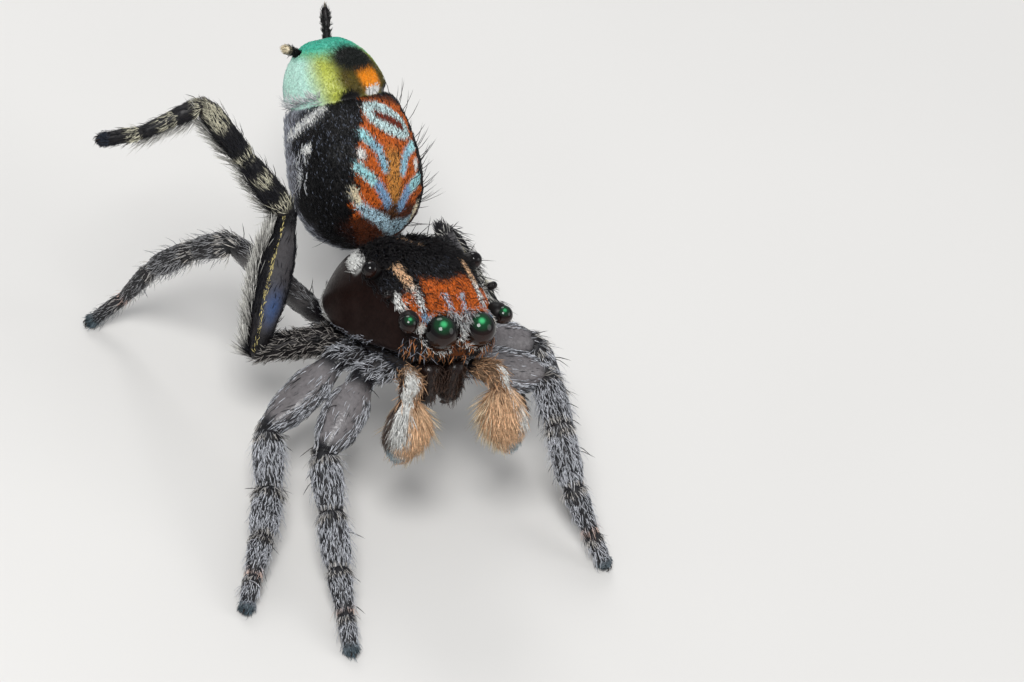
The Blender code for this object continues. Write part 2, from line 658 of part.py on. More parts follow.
def sternum():
    """The shield between the coxae, under the body."""
    layers = []
    for r in range(1, 7):
        angle = math.pi * r / 7
        layer = []
        for k in range(12):
            turn = 2 * math.pi * k / 12
            x = STERNUM_HALF[0] * math.sin(angle) * math.cos(turn)
            z = STERNUM_HALF[2] * math.sin(angle) * math.sin(turn)
            y = -STERNUM_HALF[1] * math.cos(angle)
            layer.append(over_floor(np.array((x, y, z)) + np.array(STERNUM_MIDDLE)))
        layers.append(layer)
    front = over_floor(np.array(STERNUM_MIDDLE) - np.array((0, STERNUM_HALF[1], 0)))
    rear = over_floor(np.array(STERNUM_MIDDLE) + np.array((0, STERNUM_HALF[1], 0)))
    points, faces = skin_rings(layers, front, rear)
    return loft("sternum", points, faces)


def waist():
    """The narrow stalk from the carapace's rear face square on to the abdomen's end face.

    It leaves halfway between the two faces' directions and stops one gap short of the abdomen's.
    """
    base, length, line, side, face = abdomen_axes()
    a = over_floor(WAIST_FRONT)
    first = unit(over_floor((WAIST_FRONT[0], WAIST_FRONT[1] + 1.0, WAIST_FRONT[2])) - a)
    axis = unit(first + line)
    b = a + axis * (((base - a) @ line - GAP) / (axis @ line))
    r = WAIST_RADIUS
    return sweep("waist", [(a, first, side, r, r, None), (b, line, side, r, r, None)])


def palp(letter):
    """A palp as an arm and its brush-like end."""
    points = [over_floor(p) for p in PALPS[letter]]
    across = AXES @ np.array((1.0, 0.0, 0.0))
    d = [unit(points[i + 1] - points[i]) for i in range(4)]
    joint = unit(d[1] + d[2])
    half = GAP / 2
    arm = sweep("palp_" + letter + "_arm", [
        (points[0], d[0], across, 0.085, 0.085, None),
        (points[0] + (points[1] - points[0]) * 0.5, d[0], across, 0.100, 0.100, None),
        (points[1], unit(d[0] + d[1]), across, 0.105, 0.110, None),
        (points[1] + (points[2] - points[1]) * 0.5, d[1], across, 0.105, 0.105, None),
        (points[2] - d[1] * half, d[1], across, 0.090, 0.090, joint),
    ])
    draw = random.Random(SEED + (61 if letter == "r" else 62))
    stations = [
        (points[2] + d[2] * half, d[2], across, 0.095, 0.095, joint),
        (points[2] + (points[3] - points[2]) * 0.40, d[2], across, 0.195, 0.165, None),
        (points[3], unit(d[2] + d[3]), across, 0.265, 0.205, None),
        (points[3] + (points[4] - points[3]) * 0.5, d[3], across, 0.240, 0.190, None),
        (points[3] + (points[4] - points[3]) * 0.84, d[3], across, 0.150, 0.135, None),
        (points[4], d[3], across, 0.060, 0.060, None),
    ]
    end = sweep("palp_" + letter + "_brush", stations)
    coat = []
    for k in range(PALP_LOCKS):
        place = 0.30 + 0.50 * k / (PALP_LOCKS - 1)
        turn = 2.399963 * k
        point, out, direction, whole = limb_out(stations, place, turn)
        lie = direction + out * 0.10
        coat.append(lock(point, lie, out, 0.24 + 0.06 * draw.random(), 0.15, 0.06, 0.03))
    join(end, coat)
    return [arm, end]


def spinnerets():
    """A long spinneret on top of the raised abdomen and a short one behind it."""
    base, length, line, side, face = abdomen_axes()
    top = base + line * (length + GAP) + face * (along(ABDOMEN_LEAN, 1.0) + 0.02) + side * 0.05
    tall_line = unit(line + side * 0.20)
    r = SPINNERET_RADIUS
    rows = ((-0.02, 1.15), (0.25, 1.0), (0.75, 0.9), (1.0, 0.6))
    tall = sweep("spinnerets", [
        (top + tall_line * (0.02 + SPINNERET_LONG * t), tall_line, side, r * s, r * s, None) for t, s in rows], 10)
    turn = math.radians(188.0)
    low_line = unit(side * math.cos(turn) + face * math.sin(turn) + line * 0.55)
    start = abdomen_point(0.955, turn) + low_line * (GAP + 0.02)
    low = sweep("spinneret_low", [
        (start + low_line * (SPINNERET_SHORT * t), low_line, side, r * s, r * s, None) for t, s in rows], 10)
    return [tall, low]


def cut(thing, cutters):
    """Take the cutters out of a body and delete them."""
    group = bpy.data.collections.new("cutters")
    bpy.context.scene.collection.children.link(group)
    for cutter in cutters:
        bpy.context.scene.collection.objects.unlink(cutter)
        group.objects.link(cutter)
    change(thing, group, "DIFFERENCE")


def join(thing, pieces):
    """Unite a body with pieces rooted in it and keep the one closed surface."""
    if not pieces:
        return
    group = bpy.data.collections.new("pieces")
    bpy.context.scene.collection.children.link(group)
    for piece in pieces:
        bpy.context.scene.collection.objects.unlink(piece)
        group.objects.link(piece)
    change(thing, group, "UNION")


def change(thing, group, operation):
    """Apply one Boolean with every object of a group, then remove the group."""
    modifier = thing.modifiers.new("join", "BOOLEAN")
    modifier.operation = operation
    modifier.operand_type = "COLLECTION"
    modifier.collection = group
    modifier.solver = "EXACT"
    modifier.use_self = operation == "UNION"
    graph = bpy.context.evaluated_depsgraph_get()
    mesh = bpy.data.meshes.new_from_object(thing.evaluated_get(graph))
    thing.modifiers.clear()
    old = thing.data
    thing.data = mesh
    bpy.data.meshes.remove(old)
    for piece in list(group.objects):
        bpy.data.objects.remove(piece, do_unlink=True)
    bpy.data.collections.remove(group)
    keep_largest(thing)


def keep_largest(thing):
    """Keep only the closed surface with the most faces, and weld what lies together."""
    bm = bmesh.new()
    bm.from_mesh(thing.data)
    bmesh.ops.remove_doubles(bm, verts=bm.verts, dist=0.0004)
    left = set(bm.faces)
    groups = []
    while left:
        seed = left.pop()
        island = [seed]
        queue = [seed]
        while queue:
            for edge in queue.pop().edges:
                if len(edge.link_faces) != 2:
                    continue
                for face in edge.link_faces:
                    if face in left:
                        left.remove(face)
                        island.append(face)
                        queue.append(face)
        groups.append(island)
    groups.sort(key=len)
    spare = [face for island in groups[:-1] for face in island]
    bmesh.ops.delete(bm, geom=spare, context="FACES")
    bmesh.ops.triangulate(bm, faces=bm.faces)
    bmesh.ops.recalc_face_normals(bm, faces=bm.faces)
    bm.to_mesh(thing.data)
    bm.free()


def finish(thing, group):
    """Place a piece by its own middle, in metres, with its material and smooth shading."""
    shift = np.array((ORIGIN_X, ORIGIN_Y, 0.0))
    points = np.array([tuple(vertex.co) for vertex in thing.data.vertices]) - shift
    middle = (points.min(axis=0) + points.max(axis=0)) / 2
    for vertex, point in zip(thing.data.vertices, points):
        vertex.co = Vector(tuple((point - middle) * MILLIMETRE))
    thing.location = Vector(tuple(middle * MILLIMETRE))
    for start, slot in SLOTS:
        if thing.name.startswith(start):
            thing.data.materials.clear()
            thing.data.materials.append(material(slot))
            break
    thing.data.shade_smooth()
    thing.data.set_sharp_from_angle(angle=math.radians(50))
    bpy.context.scene.collection.objects.unlink(thing)
    group.objects.link(thing)
    return points.min(axis=0), points.max(axis=0)


def build():
    """Make every piece of the spider."""
    clear_scene()
    made = [carapace(), sternum(), waist(), abdomen()]
    made.extend(spinnerets())
    made.extend(eyes())
    for side, letter in ((-1, "r"), (1, "l")):
        made.append(jaw(side, letter))
        made.extend(palp(letter))
    for key in LEGS:
        made.extend(leg_pieces(key))
    group = bpy.data.collections.new("peacock_spider")
    bpy.context.scene.collection.children.link(group)
    limits = [finish(thing, group) for thing in made]
    low = np.min([pair[0] for pair in limits], axis=0)
    high = np.max([pair[1] for pair in limits], axis=0)
    print("outline in mm", low.round(4), high.round(4), "middle", ((low + high) / 2).round(4))
    print("triangles", sum(len(thing.data.polygons) for thing in made), "pieces", len(made))


build()
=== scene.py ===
"""The looks of a male peacock spider, life size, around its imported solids.

Lengths are in millimetres in the part's own frame and are scaled to metres when a mesh is
made, but for the studio's, which say so. Each form is a grid of points worked out from two
parameters, and each hair of the coat is a closed tapered blade rooted on such a grid.
"""

import math

import bpy
import numpy as np
from mathutils import Matrix


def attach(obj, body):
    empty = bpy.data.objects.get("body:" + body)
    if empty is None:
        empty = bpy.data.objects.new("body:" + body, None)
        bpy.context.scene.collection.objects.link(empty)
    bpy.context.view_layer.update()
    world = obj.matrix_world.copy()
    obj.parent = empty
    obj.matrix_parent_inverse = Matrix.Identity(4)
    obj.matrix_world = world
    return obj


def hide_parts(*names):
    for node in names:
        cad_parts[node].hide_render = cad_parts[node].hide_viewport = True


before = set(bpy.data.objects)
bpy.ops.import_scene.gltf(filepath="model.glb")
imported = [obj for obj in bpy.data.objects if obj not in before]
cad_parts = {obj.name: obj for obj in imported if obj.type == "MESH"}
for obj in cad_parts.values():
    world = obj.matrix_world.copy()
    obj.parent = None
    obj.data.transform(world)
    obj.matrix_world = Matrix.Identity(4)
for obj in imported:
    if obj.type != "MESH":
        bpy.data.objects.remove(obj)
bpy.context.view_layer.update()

bl_info = {
    "name": "Peacock spider",
    "version": (1, 0, 0),
    "blender": (4, 5, 0),
    "location": "3D View > Sidebar > Spider",
    "description": "Builds the skin, eyes, coat and stage of a life-size peacock spider",
    "category": "Add Mesh",
}

MM = 0.001
BODY = "root"
SEED = 20

# How the body frame (x left, y rear, z up, zero between the front eyes) lies over the floor
NOSE_HEIGHT = 2.48
BODY_PITCH = 11.1
BODY_ROLL = -3.0
ORIGIN = np.array((-0.646, 1.13, 0.0))

# Carapace outline in the body frame
CARAPACE_FRONT = -0.05
CARAPACE_REAR = 1.98
CARAPACE_WIDTHS = ((-0.05, 0.60), (0.12, 0.67), (0.60, 0.75), (1.00, 0.82), (1.45, 0.83), (1.98, 0.58))
CARAPACE_TOPS = ((-0.05, 0.20), (0.15, 0.27), (0.60, 0.34), (1.00, 0.35), (1.40, 0.24), (1.98, -0.10))
CARAPACE_LOWS = ((-0.05, -0.38), (0.28, -0.47), (0.90, -0.70), (1.40, -0.77), (1.98, -0.62))

# Eyes: name, middle on the left side, radius
EYES = (
    ("front", (0.235, -0.01, 0.00), 0.185),
    ("side", (0.585, 0.11, 0.06), 0.105),
    ("small", (0.655, 0.52, 0.16), 0.042),
    ("rear", (0.640, 0.98, 0.18), 0.095),
)

# Which way each eye looks on the left side (left, rear, up), and how strong its painted green reflection is
EYE_LOOKS = {
    "front": (0.0, -1.0, 0.0, 1.0), "side": (0.5, -0.8, 0.1, 0.75), "small": (1.0, 0.0, 0.5, 0.0),
    "rear": (1.0, 0.0, 0.5, 0.0),
}

# Where the painted green reflection sits on an eye, as a direction over the floor
EYE_PAINTED_REFLECTION = (-0.20, -0.26, 0.95)

# Abdomen axis over the floor, and its outline along that axis
ABDOMEN_BASE = np.array((0.13, 2.14, 1.60))
ABDOMEN_TIP = np.array((-0.03, 3.90, 3.075))
ABDOMEN_FACES = np.array((0.22, -0.61, 0.76))
ABDOMEN_HALF_WIDTHS = (
    (0.00, 0.50), (0.08, 0.72), (0.16, 0.77), (0.30, 0.77), (0.45, 0.73), (0.58, 0.68), (0.66, 0.635),
    (0.70, 0.585), (0.74, 0.60), (0.82, 0.60), (0.92, 0.53), (1.00, 0.40),
)
ABDOMEN_HALF_DEPTHS = (
    (0.00, 0.42), (0.08, 0.60), (0.16, 0.68), (0.30, 0.70), (0.45, 0.67), (0.58, 0.63), (0.66, 0.59),
    (0.70, 0.55), (0.74, 0.57), (0.82, 0.58), (0.92, 0.53), (1.00, 0.42),
)
ABDOMEN_LEAN = ((0.00, 0.00), (0.30, 0.03), (0.60, 0.02), (0.75, -0.02), (1.00, -0.06))
ABDOMEN_ROUND = 0.22
SPINNERET_RADII = ((0.0, 0.050), (0.15, 0.042), (0.55, 0.047), (0.80, 0.044), (0.93, 0.030), (1.0, 0.006))

# Degrees round the abdomen, along its run: the middle of its pattern, and how far off the red plate reaches
BACK_MIDDLE = ((0.0, 94.0), (0.25, 93.0), (0.40, 88.0), (0.55, 81.0), (0.70, 78.0), (0.85, 84.0), (1.0, 92.0))
PLATE_EDGE = (
    (0.0, 48.0), (0.10, 44.0), (0.22, 40.0), (0.36, 37.0), (0.49, 33.0), (0.62, 27.0), (0.70, 22.0),
    (1.0, 20.0),
)

# Legs over the floor: start of the first joint, then (length, heading, slope) of each segment
LEGS = {
    "r1": ((-0.66, 0.42, 1.48), (0.99, -47.4, -29.8), (0.63, -8.4, -29.6), (0.65, -9.8, -23.9),
           (0.52, -9.7, -20.8), (0.48, -8.3, -30.0)),
    "r2": ((-0.78, 0.79, 1.40), (1.13, -66.9, -30.9), (0.65, -14.3, -30.2), (0.59, -27.9, -12.7),
           (0.49, -31.6, -20.3), (0.45, -31.0, -24.9)),
    "r3": ((-1.55, 1.23, 1.20), (1.61, 159.4, 68.3), (0.75, -130.7, 39.9), (0.85, -127.4, 41.1),
           (0.71, -88.2, -24.1), (0.48, -93.7, -8.5)),
    "r4": ((-0.68, 1.53, 1.28), (1.41, -114.6, 35.1), (0.56, -149.5, -45.4), (0.76, -152.8, -56.6),
           (0.71, -154.5, -70.9), (0.50, -93.7, -51.5)),
    "l1": ((0.60, 0.40, 1.42), (1.02, 83.0, -13.7), (0.60, -8.8, -9.7), (0.70, 3.1, -36.2),
           (0.56, 16.8, -36.3), (0.45, 28.2, -48.0)),
    "l2": ((0.74, 0.76, 1.34), (0.89, 89.3, -7.8), (0.57, 37.5, -47.5), (0.61, 0.0, -35.0),
           (0.52, 3.8, -29.0), (0.40, -4.9, -29.7)),
    "l3": ((1.22, 1.15, 1.22), (1.19, -176.5, 13.6), (0.73, 48.8, -43.3), (0.71, 36.9, -44.0),
           (0.57, 6.3, -37.9), (0.39, -8.1, -23.0)),
    "l4": ((0.62, 1.50, 1.20), (1.15, 169.9, -7.5), (0.69, 172.8, -21.4), (0.71, 170.9, -44.6),
           (0.39, 176.7, -27.2), (0.37, 180.0, -18.9)),
}
COXA_INNER = {
    1: (0.25, 0.62, -0.775), 2: (0.38, 0.95, -0.885), 3: (0.38, 1.27, -0.910), 4: (0.26, 1.58, -0.905),
}
LEG_WIDTHS = {
    1: (0.140, 0.112, 0.150, 0.135, 0.150, 0.150, 0.120, 0.092, 0.070),
    2: (0.140, 0.112, 0.150, 0.135, 0.150, 0.150, 0.120, 0.092, 0.070),
    3: (0.138, 0.112, 0.130, 0.115, 0.130, 0.118, 0.088, 0.072, 0.062),
    4: (0.138, 0.112, 0.135, 0.115, 0.125, 0.118, 0.090, 0.072, 0.060),
}
LEG_DEPTHS = {
    1: (0.150, 0.135, 0.230, 0.155, 0.160, 0.155, 0.125, 0.095, 0.075),
    2: (0.150, 0.135, 0.230, 0.155, 0.160, 0.155, 0.125, 0.095, 0.075),
    3: (0.145, 0.132, 0.205, 0.135, 0.135, 0.122, 0.092, 0.075, 0.068),
    4: (0.145, 0.128, 0.165, 0.125, 0.130, 0.122, 0.094, 0.075, 0.062),
}
# Where the outline of a leg is given: segment, part of its length, which size, times across, times deep
LEG_STATIONS = (
    (0, 0.00, 0, 0.70, 0.70), (0, 0.15, 0, 0.95, 0.95), (0, 0.55, 0, 1.00, 1.00), (0, 0.85, 0, 0.88, 0.88),
    (0, 1.00, 1, 1.00, 1.00), (1, 0.16, 1, 1.05, 1.12), (1, 0.32, 2, 0.92, 0.92), (1, 0.52, 2, 1.00, 1.00),
    (1, 0.72, 2, 0.97, 0.93), (1, 0.88, 3, 1.00, 1.00), (1, 1.00, 3, 0.84, 0.84), (2, 0.22, 4, 0.98, 0.98),
    (2, 0.60, 4, 1.00, 1.00), (2, 0.88, 4, 0.86, 0.86), (2, 1.00, 5, 0.80, 0.80), (3, 0.14, 5, 0.92, 0.92),
    (3, 0.45, 5, 1.00, 1.00), (3, 0.84, 5, 0.90, 0.90), (3, 1.00, 6, 0.84, 0.84), (4, 0.16, 6, 1.00, 1.00),
    (4, 0.60, 6, 0.90, 0.90), (4, 1.00, 7, 0.92, 0.92), (5, 0.30, 7, 1.00, 1.00), (5, 0.72, 8, 1.10, 1.10),
    (5, 1.00, 8, 0.95, 0.95),
)

# Pale bands of a third leg: segment, middle and half length along it, how far the skin must face up and ahead
THIRD_LEG_MARKS = (
    (2, 0.10, 0.08, 0.3), (2, 0.56, 0.09, 0.5), (2, 1.00, 0.09, -2.0), (3, 0.00, 0.07, -2.0),
    (3, 0.72, 0.24, 0.45), (4, 0.02, 0.09, 0.0), (4, 0.55, 0.15, 0.3), (5, 0.12, 0.20, -0.3),
)

# Palps in the body frame: root, bend, wrist, middle of the brush, tip
PALPS = {
    "r": ((-0.40, 0.16, -0.63), (-0.51, -0.10, -0.56), (-0.56, -0.21, -0.68), (-0.55, -0.32, -0.98),
          (-0.62, -0.38, -1.36)),
    "l": ((0.40, 0.16, -0.63), (0.51, -0.08, -0.54), (0.53, -0.22, -0.60), (0.57, -0.38, -0.88),
          (0.68, -0.52, -1.26)),
}
PALP_STATIONS = (
    (0, 0.0, 0.085, 0.085), (0, 0.5, 0.098, 0.098), (1, 0.0, 0.100, 0.100), (1, 0.6, 0.095, 0.095),
    (2, 0.0, 0.080, 0.080), (2, 0.35, 0.130, 0.120), (2, 0.80, 0.185, 0.150), (3, 0.15, 0.195, 0.155),
    (3, 0.50, 0.165, 0.135), (3, 0.80, 0.110, 0.095), (3, 0.98, 0.045, 0.045),
)

# Jaws, underside and waist, in the body frame
JAW_TOP = (0.155, 0.16, -0.49)
JAW_TIP = (0.150, 0.10, -1.06)
JAW_RADIUS = 0.145
JAW_RADII = (
    (0.0, 0.60), (0.08, 0.88), (0.35, 1.0), (0.66, 0.94), (0.84, 0.68), (0.90, 0.34), (0.96, 0.20),
    (1.0, 0.03),
)
STERNUM_MIDDLE = (0.0, 1.10, -0.96)
STERNUM_HALF = (0.36, 0.64, 0.17)
WALL_SPAN = (0.26, 1.86)
WALL_OVERLAP = 0.07
WALL_FOOT = -0.88
WALL_HALF_WIDTH = 0.54
WAIST_FRONT = (0.06, 2.02, -0.46)
WAIST_RADIUS = 0.11

# Blades of hair: how deep a root sinks, how much the length varies, and where the last ring is before the tip
ROOT_SINK = 0.012
LENGTH_VARIES = 0.25
LAST_RING = 0.72

# How near the floor a foot is pressed flat, and how low a claw may reach
FOOT_FLAT = 0.012
CLAW_LOW = 0.012

# Both sides of the body: sign of x and letter
SIDES = ((-1, "r"), (1, "l"))

# The studio's lamps, in metres and watts: name, place, width and power; where they aim, and the sky's light
LAMPS = (
    ("key", (-0.040, -0.030, 0.085), 0.040, 0.075),
    ("fill", (0.075, -0.05, 0.05), 0.06, 0.018),
    ("back", (0.01, 0.09, 0.07), 0.05, 0.03),
)
LAMP_TARGET = (0.0, 0.0, 0.0018)
SKY = (0.92, 0.95, 1.0, 1.0)
SKY_STRENGTH = 0.42

# The floor: half its width in metres, and how many millimetres it lies under the feet
FLOOR_HALF = 0.6
FLOOR_DROP = 0.002

# The camera, in the part's frame: sensor, focal length and distance in millimetres, and its three directions
LENS_WIDTH = 36.0
LENS = 263.5
CAMERA_RIGHT = (0.8747, -0.4103, 0.2581)
CAMERA_UP = (0.1272, 0.7080, 0.6947)
CAMERA_BACK = (-0.4678, -0.5748, 0.6714)
CAMERA_DISTANCE = 80.0
CAMERA_SHIFT = (0.0514, -0.0111)


def ink(red, green, blue):
    """A colour given as it looks, 0 to 255, turned into light."""
    value = np.array((red, green, blue), float) / 255.0
    return np.where(value <= 0.04045, value / 12.92, ((value + 0.055) / 1.055) ** 2.4)


BLACK = ink(20, 18, 20)
JET = ink(7, 7, 9)
RUST = ink(206, 102, 34)
DEEP_RUST = ink(120, 40, 12)
OCHRE = ink(204, 140, 66)
BLUE = ink(136, 174, 208)
CYAN = ink(178, 232, 236)
WHITE = ink(240, 240, 236)
CREAM = ink(236, 222, 190)
TAN = ink(244, 200, 158)
SILVER = ink(176, 180, 190)
GREY = ink(118, 118, 124)
SHELL = ink(24, 11, 8)
TURQUOISE = ink(70, 188, 160)
LIME = ink(190, 198, 84)
PALE_MINT = ink(196, 236, 222)
ORANGE = ink(244, 146, 20)
UMBER = ink(52, 22, 10)
PAINTED_SHADE_OLIVE = ink(84, 72, 18)
STEEL = ink(96, 102, 116)


# Numbers

def unit(vectors):
    """The same directions with length one: each vector over its own length."""
    vectors = np.asarray(vectors, float)
    return vectors / np.maximum(np.linalg.norm(vectors, axis=-1, keepdims=True), 1e-12)


def along(table, values):
    """Smooth value of a table of (place, number) rows: a cubic through each pair, with shared slopes."""
    places = np.array([row[0] for row in table], float)
    numbers = np.array([row[1] for row in table], float)
    values = np.clip(np.asarray(values, float), places[0], places[-1])
    slopes = np.gradient(numbers, places)
    k = np.clip(np.searchsorted(places, values) - 1, 0, len(places) - 2)
    width = places[k + 1] - places[k]
    t = (values - places[k]) / width
    return ((2 * t ** 3 - 3 * t ** 2 + 1) * numbers[k] + (t ** 3 - 2 * t ** 2 + t) * width * slopes[k]
            + (3 * t ** 2 - 2 * t ** 3) * numbers[k + 1] + (t ** 3 - t ** 2) * width * slopes[k + 1])


def step(low, high, values):
    """Zero below low, one above high, and an even S between."""
    t = np.clip((np.asarray(values, float) - low) / (high - low), 0.0, 1.0)
    return t * t * (3 - 2 * t)


def bell(values, middle, half):
    """One at the middle, falling off as a bell whose half width is given."""
    return np.exp(-((np.asarray(values, float) - middle) / half) ** 2)


def boxy(values, power):
    """A sine or cosine pushed towards a squarer curve: its size to a power, with its sign."""
    return np.sign(values) * np.abs(values) ** power


def blend(base, over, mask):
    """One colour over another: base times one minus the mask, plus over times the mask.

    Either colour may be a plain one, which the mask spreads over its own field.
    """
    mask = np.asarray(mask, float)[..., None]
    return base * (1 - mask) + over * mask


def stroke(x, y, points, half, soft=0.35):
    """Mask of a painted line: one within the half width of a run of points, and soft at its edge."""
    points = np.asarray(points, float)
    near = np.full(np.shape(x), 1e9)
    for a, b in zip(points[:-1], points[1:]):
        d = b - a
        t = np.clip(((x - a[0]) * d[0] + (y - a[1]) * d[1]) / (d @ d), 0, 1)
        near = np.minimum(near, np.hypot(x - a[0] - t * d[0], y - a[1] - t * d[1]))
    return 1 - step(half * (1 - soft), half * (1 + soft), near)


def body_axes():
    """The body frame's axes over the floor, as rows: left, rear and up."""
    up = np.array((math.sin(math.radians(BODY_ROLL)), -math.sin(math.radians(BODY_PITCH)), 0.0))
    up[2] = math.sqrt(1.0 - up @ up)
    rear = np.array((0.0, 1.0, 0.0))
    rear = unit(rear - up * (rear @ up))
    return np.array((np.cross(rear, up), rear, up))


AXES = body_axes()


def place(points):
    """Points of the body frame set over the floor, in the part's frame."""
    return np.asarray(points, float) @ AXES.T + np.array((0.0, 0.0, NOSE_HEIGHT)) - ORIGIN


def turned(vectors):
    """Directions of the body frame in the part's frame."""
    return np.asarray(vectors, float) @ AXES.T


# Surfaces

class Surface:
    """A grid of points closed round its columns, with its normals, its two directions and its colours."""

    def __init__(self, points):
        self.points = points
        self.rows, self.columns = points.shape[:2]
        self.along = np.gradient(points, axis=0)
        wide = np.concatenate((points[:, -1:], points, points[:, :1]), axis=1)
        self.around = (wide[:, 2:] - wide[:, :-2]) / 2
        normal = np.cross(self.around, self.along)
        self.area = np.linalg.norm(normal, axis=-1)
        inside = points - points.mean(axis=1, keepdims=True)
        if (inside * normal).sum() < 0:
            normal = -normal
        self.normal = unit(normal)
        self.along = unit(self.along)
        self.around = unit(self.around)
        self.tint = None

    def at(self, field, row, column):
        """Value of a field between grid points: each neighbour weighted by its nearness."""
        r = np.clip(np.floor(row).astype(int), 0, self.rows - 2)
        c = np.floor(column).astype(int)
        a = np.clip(row - r, 0, 1)
        b = column - c
        c0 = c % self.columns
        c1 = (c + 1) % self.columns
        if field.ndim == 3:
            a = a[:, None]
            b = b[:, None]
        return ((field[r, c0] * (1 - b) + field[r, c1] * b) * (1 - a)
                + (field[r + 1, c0] * (1 - b) + field[r + 1, c1] * b) * a)

    def pick(self, rng, count, weight):
        """Random places on the surface, as many to an area as the weight says."""
        chance = (self.area * np.maximum(weight, 0.0)).ravel()
        total = np.cumsum(chance)
        cells = np.searchsorted(total, rng.random(count) * total[-1])
        cells = np.minimum(cells, chance.size - 1)
        row = np.clip(cells // self.columns + rng.random(count) - 0.5, 0, self.rows - 1.001)
        column = cells % self.columns + rng.random(count) - 0.5
        return row, column


def mesh_object(name, points, quads, triangles, tint=None, dull=None, uv=None):
    """An object from arrays of points and faces in millimetres, smooth, with a colour for each point.

    The dullness is a number for each point that the skin's shader adds its roughness to.
    """
    mesh = bpy.data.meshes.new(name)
    loops = np.concatenate([np.asarray(f, np.int32).ravel() for f in (quads, triangles) if len(f)])
    sizes = np.concatenate([np.full(len(quads), 4, np.int32), np.full(len(triangles), 3, np.int32)])
    starts = np.concatenate(([0], np.cumsum(sizes)[:-1])).astype(np.int32)
    mesh.vertices.add(len(points))
    mesh.vertices.foreach_set("co", (np.asarray(points) * MM).astype(np.float32).ravel())
    mesh.loops.add(len(loops))
    mesh.loops.foreach_set("vertex_index", loops)
    mesh.polygons.add(len(sizes))
    mesh.polygons.foreach_set("loop_start", starts)
    mesh.polygons.foreach_set("use_smooth", np.ones(len(sizes), bool))
    mesh.update(calc_edges=True)
    if tint is not None:
        colours = np.ones((len(points), 4), np.float32)
        colours[:, :3] = tint
        mesh.attributes.new("tint", "FLOAT_COLOR", "POINT").data.foreach_set("color", colours.ravel())
    if dull is not None:
        mesh.attributes.new("dull", "FLOAT", "POINT").data.foreach_set("value", np.asarray(dull, np.float32))
    if uv is not None:
        mesh.uv_layers.new(name="OFBake").data.foreach_set("uv", np.asarray(uv, np.float32).ravel())
    thing = bpy.data.objects.new(name, mesh)
    bpy.context.scene.collection.objects.link(thing)
    return thing


def closed_grid(surface, start=None, end=None):
    """Points, quads and triangles of a surface's grid, closed by a fan at each end and facing outwards."""
    rows, columns = surface.rows, surface.columns
    index = np.arange(rows * columns).reshape(rows, columns)
    right = np.roll(index, -1, axis=1)
    quads = np.stack((index[:-1], right[:-1], right[1:], index[1:]), axis=-1).reshape(-1, 4)
    first, last = rows * columns, rows * columns + 1
    fan_a = np.stack((np.full(columns, first), right[0], index[0]), axis=-1)
    fan_b = np.stack((np.full(columns, last), index[-1], right[-1]), axis=-1)
    triangles = np.concatenate((fan_a, fan_b))
    start = surface.points[0].mean(axis=0) if start is None else start
    end = surface.points[-1].mean(axis=0) if end is None else end
    points = np.concatenate((surface.points.reshape(-1, 3), [start], [end]))
    a, b, c = (points[quads[:, k]] for k in (0, 1, 2))
    if (np.cross(b - a, c - a) * surface.normal[:-1].reshape(-1, 3)).sum() < 0:
        quads, triangles = quads[:, ::-1], triangles[:, ::-1]
    return points, quads, triangles


def with_ends(field):
    """A field of a surface as a list, followed by its mean over the first and over the last ring."""
    ends = [field[0].mean(axis=0)], [field[-1].mean(axis=0)]
    return np.concatenate((field.reshape(-1, *field.shape[2:]), *ends))


def skin_piece(name, surface, dull, material, slot, *nodes, tint=None, start=None, end=None):
    """A finished skin over a surface's grid. Its dullness and tint are each a field or the same all over."""
    if tint is not None:
        surface.tint = np.broadcast_to(tint, surface.points.shape)
    if dull is not None:
        dull = with_ends(np.broadcast_to(dull, surface.points.shape[:2]))
    thing = mesh_object(name, *closed_grid(surface, start, end), with_ends(surface.tint), dull)
    finish_piece(thing, material, slot, *nodes)


def finish_piece(thing, material, slot, *nodes):
    """Give a piece its material, its body and the solids that it stands for. The slot is not used."""
    thing.data.materials.append(material)
    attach(thing, BODY)
    if nodes:
        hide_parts(*nodes)


